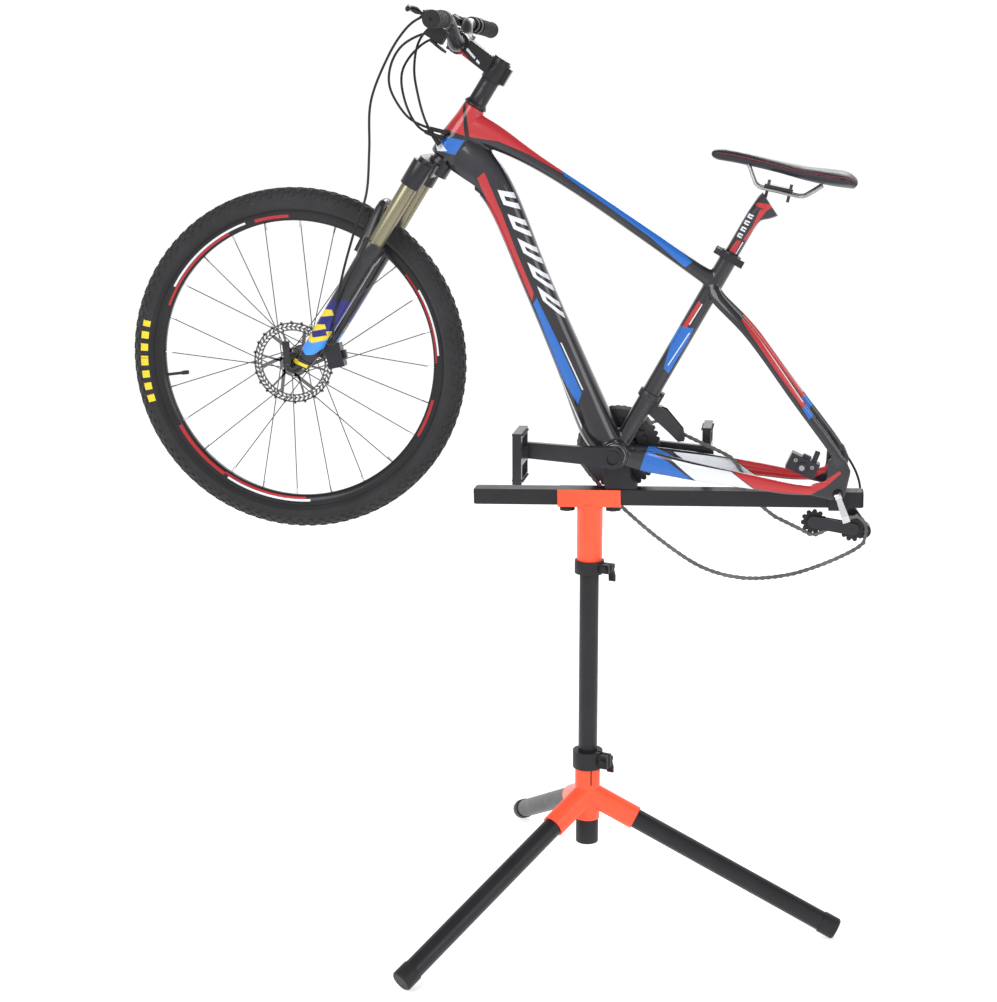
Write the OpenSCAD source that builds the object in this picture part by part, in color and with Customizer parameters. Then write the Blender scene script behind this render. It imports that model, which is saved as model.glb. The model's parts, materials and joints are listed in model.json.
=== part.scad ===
// Hardtail mountain bicycle held by the bottom bracket and the rear dropouts on a
// tripod work stand, with its rear wheel taken out.
// World frame: +X towards the rear of the bicycle, +Y towards its right side, +Z up.
// The origin is on the mast axis at floor level.

/* [Stand] */
// Height of the top of the rail above the floor, at the mast
rail_top = 899; // [860:1:960]
// Length of the rail
rail_len = 756; // [720:1:860]
// Distance from the mast axis to the front end of the rail
rail_front = 228; // [200:1:300]
// Width of the rail
rail_w = 40; // [36:1:46]
// Height of the rail
rail_h = 31; // [26:1:38]
// Wall thickness of the rail
rail_wall = 2.5; // [1.5:0.5:4]
// Upward slope of the rail towards the rear, degrees
rail_tilt = 1.3; // [0:0.1:3]
// Outer diameter of the mast
mast_d = 38.6; // [34:0.1:44]
// Outer diameter of the upper and lower orange tubes
sleeve_d = 51; // [48:0.5:60]
// Wall thickness of the tubes of the stand
tube_wall = 2.5; // [1.5:0.5:4]
// Height of the lower end of the upper sleeve
sleeve_bottom = 752; // [700:1:780]
// Height of the point where the leg axes meet
leg_apex = 261; // [240:1:300]
// Distance from the mast axis to the end of a leg
leg_reach = 515; // [450:1:620]
// Outer diameter of a leg
leg_d = 40; // [34:0.5:44]
// Direction of the first leg about the mast, degrees
leg_turn = 233.5; // [0:0.5:359]
// Outer diameter of the end caps of the legs
foot_d = 44; // [42:0.5:52]

/* [Bicycle position] */
// Nose-up pitch of the bicycle, degrees
bike_pitch = 11.9; // [6:0.1:14]
// Distance from the mast axis back to the bottom bracket
bb_x = 51.5; // [30:0.5:80]
// Height of the bottom bracket above the top of the rail
bb_lift = 73.5; // [66:0.5:90]

/* [Frame] */
// Chainstay length, centre to centre
chainstay = 433; // [425:1:450]
// Height of the axles above the bottom bracket
bb_drop = 33; // [20:1:45]
// Distance between the axles
wheelbase = 1092; // [1080:1:1130]
// Head tube angle, degrees
head_angle = 69.8; // [68:0.1:72]
// Seat tube angle, degrees
seat_angle = 73; // [71:0.1:75]
// Length of the head tube
head_len = 115; // [105:1:130]
// Seat tube length from the bottom bracket to its top
seat_len = 447; // [430:1:500]
// Outer diameter of the seat tube
seat_tube_d = 35; // [33:0.5:40]
// Spacing of the rear dropouts
rear_gap = 135; // [135:1:142]

/* [Fork and wheel] */
// Distance along the steering axis from the axle line to the head tube
fork_len = 496; // [485:1:520]
// Offset of the axle in front of the steering axis
fork_offset = 42; // [38:1:50]
// Offset of the fork legs in front of the steering axis
leg_offset = 19; // [14:1:24]
// Distance between the fork legs, centre to centre
leg_gap = 131; // [128:1:136]
// Diameter of the stanchions
stanchion_d = 32; // [30:0.5:36]
// Outer diameter of the lower legs
lower_d = 41; // [39:0.5:44]
// Outer radius of the tyre
tyre_r = 341; // [330:1:345]
// Width of the tyre
tyre_w = 54; // [48:1:58]
// Radius of the inner edge of the rim
rim_in = 276; // [270:1:280]
// Number of spokes
spokes = 24; // [20:4:36]
// Outer diameter of the brake rotor
rotor_d = 160; // [140:20:180]

/* [Cockpit and seat] */
// Height of the spacer stack under the stem
spacer_h = 46; // [30:1:55]
// Stem length, steerer to handlebar
stem_len = 86; // [70:1:100]
// Overall width of the handlebar
bar_w = 636; // [600:2:740]
// Rise of the handlebar
bar_rise = 32; // [15:1:40]
// Length of a grip
grip_len = 128; // [110:1:140]
// Diameter of the seatpost
post_d = 27.2; // [26:0.1:28]
// Height of the saddle top above the bottom bracket
saddle_h = 613; // [590:1:660]
// Length of the saddle
saddle_len = 278; // [260:1:290]
// Width of the saddle
saddle_w = 138; // [130:1:160]

/* [Drive] */
// Crank length, centre to centre
crank_len = 172; // [165:0.5:175]
// Rise of the front crank above level, degrees
crank_turn = 4.5; // [-10:0.5:20]
// Teeth on the large chainring
ring_teeth = 40; // [36:1:42]
// Teeth on a derailleur pulley
pulley_teeth = 11; // [10:1:12]

/* [Hidden] */
fit = 0.05;          // radial clearance of a running fit
round_fn = 48;       // facets of a preview circle
black = [0.14, 0.14, 0.16];
orange = [1.0, 0.33, 0.23];
silver = [0.78, 0.79, 0.82];
steel = [0.60, 0.61, 0.63];
gold = [0.62, 0.58, 0.46];
paint_red = [0.65, 0.17, 0.19];
paint_blue = [0.12, 0.39, 0.70];

// Frame points in the plane of the bicycle: x back and z up from the bottom bracket
rear_x = sqrt(chainstay * chainstay - bb_drop * bb_drop);
front_x = rear_x - wheelbase;
steer_x = front_x + fork_offset * sin(head_angle);
steer_z = bb_drop - fork_offset * cos(head_angle);
bb_z = rail_top + bb_x * tan(rail_tilt) + bb_lift;
// Heights along the steering axis, from its foot nearest the axle
head_lo = fork_len;
head_hi = fork_len + head_len;
spacer_lo = head_hi + 11;
stem_lo = spacer_lo + spacer_h;
stem_h = 42;
bar_s = stem_lo + 27;
crown_lo = fork_len - 72;
lower_top = 296;

function unit(v) = v / norm(v);

// Point between b and c of a smooth curve through a, b, c and d
function spline(a, b, c, d, t) =
  0.5 * (2 * b + (c - a) * t + (2 * a - 5 * b + 4 * c - d) * t * t
         + (3 * b - a - 3 * c + d) * t * t * t);

// A route with k steps between each two of its points
function smooth(p, k) = [
  for (i = [0 : len(p) - 2], j = [0 : k - 1])
    spline(p[max(i - 1, 0)], p[i], p[i + 1], p[min(i + 2, len(p) - 1)], j / k),
  p[len(p) - 1]
];

function tangents(p) = [
  for (i = [0 : len(p) - 1])
    unit(p[min(i + 1, len(p) - 1)] - p[max(i - 1, 0)])
];

// Side vectors carried along a route without twist
function carried(t, side) = [
  for (i = 0, s = side - (side * t[0]) * t[0]; i < len(t);
       i = i + 1, s = s - (s * t[min(i, len(t) - 1)]) * t[min(i, len(t) - 1)])
    unit(s - (s * t[i]) * t[i])
];

function soft(c, q) = sign(c) * pow(abs(c), q);

// Solid swept along route p: half sizes a across the route and b along the side vector
module sweep(p, a, b, side = [0, 1, 0], n = 24, q = 1) {
  m = len(p);
  t = tangents(p);
  s = carried(t, side);
  points = [
    for (i = [0 : m - 1], j = [0 : n - 1])
      p[i] + a[i] * soft(cos(360 * j / n), q) * cross(s[i], t[i])
           + b[i] * soft(sin(360 * j / n), q) * s[i]
  ];
  walls = [
    for (i = [0 : m - 2], j = [0 : n - 1])
      each [
        [i * n + j, (i + 1) * n + (j + 1) % n, i * n + (j + 1) % n],
        [i * n + j, (i + 1) * n + j, (i + 1) * n + (j + 1) % n]
      ]
  ];
  start = [for (j = [0 : n - 1]) j];
  end = [for (j = [0 : n - 1]) m * n - 1 - j];
  polyhedron(points, concat([start], walls, [end]), convexity = 6);
}

// Round cord of radius r along a route
module cord(p, r, k = 2) {
  route = smooth(p, k);
  sweep(route, [for (x = route) r], [for (x = route) r], side = [0.3, 0.5, 0.8], n = 8);
}

// Tube swept along rows of [x, y, z, half height, half width]
module loft(rows, k = 3, n = 24, q = 0.85) {
  r = smooth(rows, k);
  sweep([for (v = r) [v[0], v[1], v[2]]], [for (v = r) v[3]], [for (v = r) v[4]], n = n, q = q);
}

module ring(r_out, r_in, h) {
  difference() {
    cylinder(r = r_out, h = h, $fn = round_fn);
    translate([0, 0, -1])
      cylinder(r = r_in, h = h + 2, $fn = round_fn);
  }
}

// Cylinder along +Y from y0 to y1
module along_y(r, y0, y1) {
  translate([0, y0, 0])
    rotate([-90, 0, 0])
      cylinder(r = r, h = y1 - y0, $fn = round_fn);
}

module both_sides() {
  children();
  mirror([0, 1, 0])
    children();
}

module on_rail() {
  translate([0, 0, rail_top])
    rotate([0, -rail_tilt, 0])
      children();
}

module on_bike() {
  translate([bb_x, 0, bb_z])
    rotate([0, bike_pitch, 0])
      children();
}

// Frame with its Z axis up the steering axis and -X forward
module on_steer() {
  on_bike()
    translate([steer_x, 0, steer_z])
      rotate([0, 90 - head_angle, 0])
        children();
}

// Frame with its Z axis up the seat tube
module on_seat() {
  on_bike()
    rotate([0, 90 - seat_angle, 0])
      children();
}

module on_front_axle() {
  on_steer()
    translate([-fork_offset, 0, 0])
      children();
}

// ---------------------------------------------------------------- stand

first_slope = atan((leg_apex - foot_d / 2) / leg_reach);
leg_slope = atan((leg_apex - foot_d / 2 * cos(first_slope)) / leg_reach);
socket_len = 112;
socket_d = leg_d + 7;
hub_top = 316;
hub_bottom = 206;
cap_bottom = 154;
foot_len = 34;
foot_floor = 8;
leg_len = leg_reach / cos(leg_slope) - foot_floor;
// Start of a leg tube, where its upper edge just clears the mast
leg_start = (mast_d / 2 + 1 + leg_d / 2 * sin(leg_slope)) / cos(leg_slope);

module each_leg() {
  for (k = [0 : 2])
    translate([0, 0, leg_apex])
      rotate([0, 0, leg_turn + 120 * k])
        rotate([0, 90 + leg_slope, 0])
          children();
}

module tripod_hub() {
  color(orange)
    difference() {
      union() {
        translate([0, 0, hub_bottom])
          cylinder(d = sleeve_d, h = hub_top - hub_bottom, $fn = round_fn);
        each_leg()
          cylinder(d = socket_d, h = socket_len, $fn = round_fn);
      }
      translate([0, 0, hub_bottom - 1])
        cylinder(r = mast_d / 2 + fit, h = hub_top - hub_bottom + 2, $fn = round_fn);
      each_leg()
        translate([0, 0, leg_start])
          cylinder(d = leg_d, h = socket_len, $fn = round_fn);
      rotate([0, 0, leg_turn + 60])
        translate([0, -1.5, hub_top - 34])
          cube([sleeve_d, 3, 40]);
    }
}

module tripod_legs() {
  color(black)
    each_leg()
      translate([0, 0, leg_start])
        ring(leg_d / 2, leg_d / 2 - tube_wall, leg_len - leg_start);
}

module end_cap(d, d_in, h, floor_h) {
  rotate_extrude($fn = round_fn)
    polygon([
      [0, 0], [d / 2 - 3, 0], [d / 2, 3], [d / 2, h], [d_in / 2, h],
      [d_in / 2, floor_h], [0, floor_h]
    ]);
}

module tripod_caps() {
  color(black) {
    each_leg()
      translate([0, 0, leg_len + foot_floor])
        mirror([0, 0, 1])
          end_cap(foot_d, leg_d, foot_len, foot_floor);
    translate([0, 0, cap_bottom])
      difference() {
        cylinder(d = sleeve_d - 5, h = hub_bottom - cap_bottom, $fn = round_fn);
        translate([0, 0, 8])
          cylinder(r = mast_d / 2 + fit, h = 60, $fn = round_fn);
      }
  }
}

// Split clamp collar with a pair of ears on +X and the bolt through them, its foot at z = 0
ear_gap = 5;
cam_r = 6.5;
collar_cam_y = 19.5;
module collar(bore_r, outer_r, h) {
  difference() {
    union() {
      cylinder(r = outer_r, h = h, $fn = round_fn);
      translate([0, -11, 4])
        cube([outer_r + 18, 22, h - 8]);
    }
    translate([0, 0, -1])
      cylinder(r = bore_r, h = h + 2, $fn = round_fn);
    translate([0, -ear_gap / 2, -1])
      cube([outer_r + 20, ear_gap, h + 2]);
  }
  translate([outer_r + 9, 0, h / 2]) {
    along_y(2.5, -15, collar_cam_y - 2);
    along_y(6, -16, -11);
    along_y(6, 11, collar_cam_y - cam_r - 0.3);
  }
}

// Quick release lever in its closed place: a barrel with a slot for the end of the bolt
// and a flat handle, its barrel along X and its bolt arriving from +Y
module cam_lever(turn, len) {
  rotate([0, turn, 0])
    difference() {
      union() {
        translate([-6, 0, 0])
          rotate([0, 90, 0])
            cylinder(r = cam_r, h = 12, $fn = round_fn);
        hull() {
          translate([-5, -4, -8])
            cube([10, 6, 4]);
          translate([-7, -8, -len])
            cube([14, 4, 12]);
        }
      }
      translate([-3.3, -3.3, -3.3])
        cube([6.6, 16, 16]);
    }
}

module collar_lever(outer_r, h) {
  translate([outer_r + 9, collar_cam_y, h / 2])
    mirror([0, 1, 0])
      cam_lever(0, 32);
}

lower_collar_r = sleeve_d / 2 + 5;
lower_lever_turn = -20;
module lower_collar() {
  color(black)
    translate([0, 0, hub_top])
      rotate([0, 0, lower_lever_turn])
        collar(mast_d / 2 + fit, lower_collar_r, 36);
}

module lower_lever() {
  color(black)
    translate([0, 0, hub_top])
      rotate([0, 0, lower_lever_turn])
        collar_lever(lower_collar_r, 36);
}

mast_top = sleeve_bottom + 98;
module mast() {
  color(black)
    translate([0, 0, cap_bottom + 8])
      ring(mast_d / 2, mast_d / 2 - tube_wall, mast_top - cap_bottom - 8);
}

upper_collar_z = sleeve_bottom - 26;
module upper_collar() {
  color(black)
    translate([0, 0, upper_collar_z])
      rotate([0, 0, lower_lever_turn])
        collar(mast_d / 2 + fit, sleeve_d / 2 + 4, 26);
}

module upper_lever() {
  color(black)
    translate([0, 0, upper_collar_z])
      rotate([0, 0, lower_lever_turn])
        collar_lever(sleeve_d / 2 + 4, 26);
}

bracket_len = 125;
bracket_wall = 3;
knob_x = 46;
module head_bracket() {
  color(orange)
    difference() {
      union() {
        translate([0, 0, sleeve_bottom])
          cylinder(d = sleeve_d, h = rail_top - rail_h - sleeve_bottom, $fn = round_fn);
        on_rail()
          translate([-bracket_len / 2, -rail_w / 2 - bracket_wall - 0.2, -rail_h - bracket_wall - 0.2])
            cube([bracket_len, rail_w + 2 * bracket_wall + 0.4, rail_h + bracket_wall + 0.2]);
      }
      on_rail()
        translate([-bracket_len, -rail_w / 2 - 0.2, -rail_h - 0.2])
          cube([2 * bracket_len, rail_w + 0.4, rail_h + 10]);
      translate([0, 0, sleeve_bottom - 1])
        cylinder(r = mast_d / 2 + fit, h = mast_top - sleeve_bottom + 3, $fn = round_fn);
      for (s = [-1, 1])
        on_rail()
          translate([s * knob_x, 0, -rail_h - bracket_wall - 5])
            cylinder(r = 4 + fit, h = 10, $fn = round_fn);
    }
}

module knob(side) {
  color(black)
    on_rail()
      translate([side * knob_x, 0, -rail_h - bracket_wall - 0.6])
        mirror([0, 0, 1]) {
          difference() {
            cylinder(r = 15, h = 10, $fn = round_fn);
            for (a = [0 : 60 : 300])
              rotate([0, 0, a])
                translate([17.5, 0, -1])
                  cylinder(r = 4, h = 12, $fn = 24);
          }
          translate([0, 0, -bracket_wall - 0.2])
            cylinder(r = 4, h = bracket_wall + 2, $fn = round_fn);
        }
}
module knob_front() knob(-1);
module knob_rear() knob(1);

module rail() {
  color(black)
    on_rail()
      translate([-rail_front, -rail_w / 2, -rail_h])
        difference() {
          cube([rail_len, rail_w, rail_h]);
          translate([rail_wall * 2, rail_wall, rail_wall])
            cube([rail_len - 4 * rail_wall, rail_w - 2 * rail_wall, rail_h - 2 * rail_wall]);
        }
}

// Shell of the bottom bracket
shell_r = 27;
shell_w = 86;
bb_bore_r = 20.5;
dropout_t = 6;

// The cradle stands on the rail and holds the shell of the bottom bracket from below
cradle_w = 34;
module bb_cradle() {
  color(black)
    difference() {
      on_rail()
        translate([bb_x, 0, 0])
          rotate([90, 0, 0])
            translate([0, 0, -cradle_w / 2])
              linear_extrude(height = cradle_w)
                polygon([[-20, 0], [42, 0], [42, 8], [30, 26], [24, bb_lift - 12],
                         [-24, bb_lift - 12], [-24, 30]]);
      on_bike()
        along_y(shell_r + 0.2, -60, 60);
      on_bike()
        translate([-60, -40, 0])
          rotate([0, 40, 0])
            cube([50, 80, 60]);
    }
}

// Saddle bracket that rides on the rail and carries the hollow axle of the dropouts
axle_r = 7.3;
stub_r = 4.9;
module on_rear_axle() {
  on_bike()
    translate([rear_x, 0, bb_drop])
      children();
}

module axle_carriage() {
  color(black) {
    difference() {
      union() {
        on_rear_axle()
          rotate([0, -bike_pitch - rail_tilt, 0])
            translate([-17, -rail_w / 2 - 4, -rail_h - 12])
              cube([34, rail_w + 8, rail_h + 22]);
        on_rear_axle()
          along_y(axle_r, -rear_gap / 2, rear_gap / 2);
        on_rear_axle()
          along_y(stub_r, -rear_gap / 2 - 5, rear_gap / 2 + 5);
      }
      on_rail()
        translate([rear_x, -rail_w / 2 - 0.1, -rail_h - 0.1])
          cube([120, rail_w + 0.2, rail_h + 0.2]);
      on_rail()
        translate([rear_x - 60, -rail_w / 2 - 0.1, -rail_h - 0.1])
          cube([120, rail_w + 0.2, rail_h + 0.2]);
      on_rear_axle()
        along_y(2.5 + fit, -rear_gap, rear_gap);
    }
    on_rear_axle() {
      along_y(2.5, -rear_gap / 2 - 20, rear_gap / 2 + 14);
      difference() {
        along_y(8.5, rear_gap / 2 + dropout_t + 0.2, rear_gap / 2 + dropout_t + 8);
        along_y(2.5, 0, rear_gap);
      }
      difference() {
        along_y(8.5, -rear_gap / 2 - 15.2, -rear_gap / 2 - dropout_t - 0.2);
        along_y(2.5, -rear_gap, 0);
      }
    }
  }
}

lever_y = -rear_gap / 2 - 22;
rear_lever_turn = -32;
module axle_lever() {
  color(silver)
    on_rear_axle()
      translate([0, lever_y, 0])
        cam_lever(rear_lever_turn, 52);
}

// ---------------------------------------------------------------- frame

head_r_lo = 29.5;
head_r_hi = 21.5;
cup_h = 9;

module head_tube() {
  color(paint_red)
    on_steer()
      rotate_extrude($fn = round_fn)
        polygon([
          [24, head_lo], [head_r_lo - 2, head_lo], [head_r_lo, head_lo + 4],
          [head_r_lo, head_lo + 44], [head_r_hi + 2, head_hi - 30], [head_r_hi, head_hi],
          [18.5, head_hi], [18.5, head_hi - cup_h], [16.5, head_hi - cup_h],
          [16.5, head_lo + cup_h], [24, head_lo + cup_h]
        ]);
}

module head_space() {
  on_steer()
    rotate_extrude($fn = round_fn)
      polygon([
        [0, head_lo], [head_r_lo - 2, head_lo], [head_r_lo, head_lo + 4],
        [head_r_lo, head_lo + 44], [head_r_hi + 2, head_hi - 30], [head_r_hi, head_hi],
        [head_r_hi, head_hi + 30], [0, head_hi + 30]
      ]);
}

// Room for the fork crown as it turns under the head tube
module crown_space() {
  on_steer()
    rotate_extrude($fn = round_fn)
      polygon([
        [0, head_lo + 1], [26, head_lo + 1], [26, head_lo - 5.4], [84, head_lo - 11.4],
        [84, head_lo - 19.5], [98, head_lo - 19.5], [98, crown_lo], [0, crown_lo]
      ]);
}

module seat_space(r) {
  on_seat()
    cylinder(r = r, h = seat_len + 5, $fn = round_fn);
}

// Centre of the head tube at height s, in the plane of the bicycle
function head_at(s) = [
  steer_x + s * cos(head_angle), 0, steer_z + s * sin(head_angle)
];
// Point of the seat tube axis at distance s from the bottom bracket
function seat_at(s) = [s * cos(seat_angle), 0, s * sin(seat_angle)];
function row(p, a, b) = [p[0], p[1], p[2], a, b];

module top_tube() {
  top_front = head_at(head_hi - 40);
  top_rear = seat_at(seat_len - 62);
  color(paint_blue)
    difference() {
      on_bike()
        loft([
          row(top_front, 34, 20),
          row(top_front + [62, 0, -10], 25, 23),
          row(top_front + [150, 0, -38], 15.5, 22),
          row(top_front + [255, 0, -76], 13, 20),
          row(top_front + [385, 0, -128], 13.5, 18),
          row(top_rear + [-38, 0, 12], 15, 17),
          row(top_rear, 20, 16)
        ]);
      head_space();
      seat_space(seat_tube_d / 2);
    }
}

module down_tube() {
  top_front = head_at(head_lo + 24);
  color(black)
    difference() {
      union() {
        on_bike()
          loft([
            row(top_front, 40, 20),
            row(top_front + [50, 0, -20], 42, 26),
            row(top_front + [116, 0, -72], 32, 28),
            row(top_front + [216, 0, -214], 28.5, 29),
            row(top_front + [316, 0, -354], 31, 32),
            row([-50, 0, 44], 36, 36),
            row([-8, 0, 0], 30, 38)
          ]);
        on_bike()
          along_y(shell_r, -shell_w / 2, shell_w / 2);
      }
      head_space();
      crown_space();
      seat_space(seat_tube_d / 2);
      on_bike()
        along_y(bb_bore_r, -shell_w, shell_w);
    }
}

module seat_tube() {
  color(black)
    difference() {
      on_seat()
        cylinder(d = seat_tube_d, h = seat_len, $fn = round_fn);
      on_seat()
        translate([0, 0, 120])
          cylinder(r = post_d / 2 + fit, h = seat_len, $fn = round_fn);
      on_bike()
        along_y(bb_bore_r, -shell_w, shell_w);
      on_seat()
        translate([-seat_tube_d, -1, seat_len - 26])
          cube([seat_tube_d, 2, 40]);
    }
}

stay_y = rear_gap / 2 + dropout_t / 2;
module rear_stay_pair() {
  loft([
    [16, 28, -2, 17, 9],
    [62, 27, 0, 21, 7],
    [110, 38, 4, 20, 8],
    [170, 54, 9, 18, 9],
    [274, 66, 17, 14, 9],
    [345, stay_y, 22, 11, 7],
    [rear_x - 40, stay_y, bb_drop - 3, 8, 4]
  ], n = 20);
  loft([
    row(seat_at(372) + [0, 12, 0], 13, 7),
    row(seat_at(362) + [24, 24, -12], 12, 8),
    [205, 46, 284, 10, 8],
    [320, 62, 184, 9.5, 7.5],
    [rear_x - 24, stay_y, bb_drop + 76, 9.5, 5],
    [rear_x - 12, stay_y, bb_drop + 58, 10, 3.4]
  ], n = 16);
}

module rear_stays() {
  color(black)
    difference() {
      union() {
        on_bike()
          both_sides()
            rear_stay_pair();
        on_bike()
          both_sides()
            translate([rear_x, rear_gap / 2 + dropout_t, bb_drop])
              rotate([90, 0, 0])
                linear_extrude(height = dropout_t)
                  difference() {
                    polygon([[-52, -14], [-52, 8], [-28, 20], [-34, 62], [-4, 72], [13, 49],
                             [14, 8], [10, -12], [-8, -14]]);
                    circle(r = stub_r + 0.1, $fn = 32);
                    translate([-stub_r - 0.1, -30])
                      square([2 * stub_r + 0.2, 30]);
                  }
      }
      seat_space(seat_tube_d / 2);
      on_bike()
        along_y(shell_r, -60, 60);
      on_seat()
        translate([0, 0, 100])
          cylinder(d = seat_tube_d, h = 300, $fn = round_fn);
    }
}

module bearing_cups() {
  color(steel) {
    on_steer()
      translate([0, 0, head_lo])
        ring(24, 20 + fit, cup_h);
    on_steer()
      translate([0, 0, head_hi - cup_h])
        ring(18.5, 14.3 + fit, cup_h);
    on_bike()
      both_sides()
        translate([0, shell_w / 2 - 10, 0])
          rotate([-90, 0, 0]) {
            ring(bb_bore_r, 12 + fit, 10);
            translate([0, 0, 10])
              ring(22, 12 + fit, 4);
          }
  }
}

// ---------------------------------------------------------------- steering

steerer_r = 14.3;
module fork_crown() {
  crown_z = fork_len - 4;
  color(black)
    on_steer()
      difference() {
        union() {
          hull()
            both_sides()
              translate([-leg_offset * 0.7, leg_gap / 2 - 12, crown_z - 34])
                cylinder(r = 20, h = 26, $fn = 32);
          both_sides()
            translate([-leg_offset, leg_gap / 2, crown_lo])
              cylinder(r = stanchion_d / 2 + 4.5, h = 52, $fn = round_fn);
          translate([0, 0, crown_z - 30])
            cylinder(r = 24, h = 28, $fn = round_fn);
          translate([0, 0, crown_z - 10])
            cylinder(r = 20, h = 14 + cup_h, $fn = round_fn);
          translate([0, 0, crown_z - 10])
            cylinder(r = steerer_r, h = stem_lo + stem_h - 6 - crown_z + 10, $fn = round_fn);
        }
        both_sides()
          translate([-leg_offset, leg_gap / 2, crown_lo - 1])
            cylinder(d = stanchion_d, h = 48, $fn = round_fn);
        translate([0, 0, crown_z - 40])
          cylinder(r = steerer_r - 2.5, h = 400, $fn = round_fn);
      }
}

module stanchions() {
  color(gold)
    on_steer()
      both_sides()
        translate([-leg_offset, leg_gap / 2, 130])
          ring(stanchion_d / 2, stanchion_d / 2 - 2, crown_lo + 47 - 130);
}

module steerer_spacers() {
  color(black)
    on_steer() {
      translate([0, 0, head_hi + 0.4])
        rotate_extrude($fn = round_fn)
          polygon([[steerer_r, 0], [23, 0], [23, 3], [18, 10.6], [steerer_r, 10.6]]);
      for (k = [0 : 2])
        translate([0, 0, spacer_lo + k * spacer_h / 3])
          ring(18, steerer_r, spacer_h / 3);
    }
}

bar_clamp_r = 15.9;
module stem() {
  color(black)
    on_steer() {
      difference() {
        union() {
          translate([0, 0, stem_lo])
            cylinder(r = 20, h = stem_h, $fn = round_fn);
          hull() {
            translate([-6, -14, stem_lo + 6])
              cube([4, 28, stem_h - 9]);
            translate([-stem_len + 18, -20, bar_s - 15])
              cube([4, 40, 32]);
          }
          translate([-stem_len, 0, bar_s])
            along_y(21, -22, 22);
          translate([12, -9, stem_lo + 3])
            cube([15, 18, stem_h - 8]);
        }
        translate([0, 0, stem_lo - 1])
          cylinder(r = steerer_r, h = stem_h + 2, $fn = round_fn);
        translate([-stem_len, 0, bar_s])
          along_y(bar_clamp_r, -40, 40);
        translate([0, -1, stem_lo - 1])
          cube([40, 2, stem_h + 2]);
        translate([-stem_len - 1, -40, bar_s - 40])
          cube([2, 80, 80]);
      }
      translate([0, 0, stem_lo + stem_h])
        cylinder(r = 17, h = 4, $fn = round_fn);
      for (z = [stem_lo + 10, stem_lo + 29])
        translate([20, 0, z])
          along_y(3.6, 9, 14);
      for (z = [-18, 18], y = [-15, 15])
        translate([-stem_len - 1, y, bar_s + z])
          rotate([0, -90, 0])
            translate([0, 0, 9])
              cylinder(r = 3, h = 6, $fn = 24);
    }
}

// Half of the handlebar axis in the steering frame, from the stem to the end
bar_half = [
  [-stem_len, 0, bar_s], [-stem_len, 22, bar_s], [-stem_len, 42, bar_s],
  [-stem_len - 7, 66, bar_s + bar_rise * 0.3],
  [-stem_len - 20, 92, bar_s + bar_rise * 0.85],
  [-stem_len - 24, 118, bar_s + bar_rise],
  [-stem_len - 12, bar_w / 2 - 5, bar_s + bar_rise]
];
bar_half_r = [bar_clamp_r, bar_clamp_r, bar_clamp_r, 13, 11.8, 11.1, 11.1, 11.1];
bar_dir = unit(bar_half[6] - bar_half[5]);
// The same axis with one more point, which keeps the outer part straight
bar_axis = concat([for (i = [0 : 5]) bar_half[i]], [bar_half[5] + 40 * bar_dir, bar_half[6]]);
// Frame at distance y from the stem on the outer, straight part of the handlebar
module on_bar(y) {
  on_steer()
    translate(bar_half[5] + bar_dir * (y - 118) / bar_dir[1])
      rotate([0, 0, -atan2(bar_dir[0], bar_dir[1])])
        children();
}

module handlebar() {
  mirrored = [for (i = [7 : -1 : 1]) [bar_axis[i][0], -bar_axis[i][1], bar_axis[i][2]]];
  path = concat(mirrored, bar_axis);
  radii = concat([for (i = [7 : -1 : 1]) bar_half_r[i]], bar_half_r);
  rows = smooth([for (i = [0 : len(path) - 1]) row(path[i], radii[i], radii[i])], 2);
  color(black)
    on_steer()
      sweep([for (v = rows) [v[0], v[1], v[2]]], [for (v = rows) v[3]],
            [for (v = rows) v[4]], side = [0, 0, 1], n = 24);
}

grip_in = bar_w / 2 - grip_len;
grip_r = 15.5;
module grips() {
  color(black)
    both_sides()
      on_bar(grip_in)
        difference() {
          along_y(grip_r, 0, grip_len - 0.5);
          along_y(11.6, -1, grip_len - 4);
        }
}

control_y = grip_in - 26;
module bar_controls() {
  color(black)
    both_sides()
      on_bar(control_y) {
        difference() {
          union() {
            along_y(16, 0, 16);
            hull() {
              translate([-30, -18, -14])
                cube([12, 34, 14]);
              translate([-16, -2, -8])
                cube([6, 16, 14]);
            }
            translate([-36, -52, -16])
              cube([16, 50, 14]);
            for (z = [-5.6, -17.4])
              translate([-36, 8, z])
                cube([14, 19, 3]);
          }
          along_y(11.5, -70, 40);
        }
        translate([0, -26, 0]) {
          difference() {
            along_y(15, 0, 12);
            along_y(11.5, -1, 13);
          }
          translate([-16, -20, -42])
            cube([34, 34, 25]);
        }
      }
}

// Brake lever blade: a curved finger lever on a pivot under the master cylinder
blade_pivot = [-30, 22, -10];
module brake_blade() {
  color(black)
    on_bar(control_y)
      translate(blade_pivot) {
        cylinder(r = 5, h = 8, center = true, $fn = 32);
        sweep(smooth([[-2, 0, 0], [-20, 14, 0], [-26, 34, 0], [-23, 66, 0], [-20, 84, 0]], 3),
              [for (k = [0 : 12]) k < 2 ? 3.4 : 6.5 - k * 0.1], [for (k = [0 : 12]) 4.5],
              side = [1, 0, 0], n = 12);
      }
}
module brake_blade_right() brake_blade();
module brake_blade_left() mirror([0, 1, 0]) brake_blade();

shift_pivot = [2, -29, -43.4];
module shift_lever() {
  color(black)
    on_bar(control_y)
      translate(shift_pivot) {
        translate([0, 0, -5])
          cylinder(r = 8, h = 5, $fn = 32);
        translate([0, 0, -5])
          linear_extrude(height = 4)
            polygon([[-6, 0], [6, 0], [26, 20], [34, 36], [24, 40], [8, 24]]);
      }
}
module shift_lever_right() shift_lever();
module shift_lever_left() mirror([0, 1, 0]) shift_lever();

// ---------------------------------------------------------------- fork lowers and wheel

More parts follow.
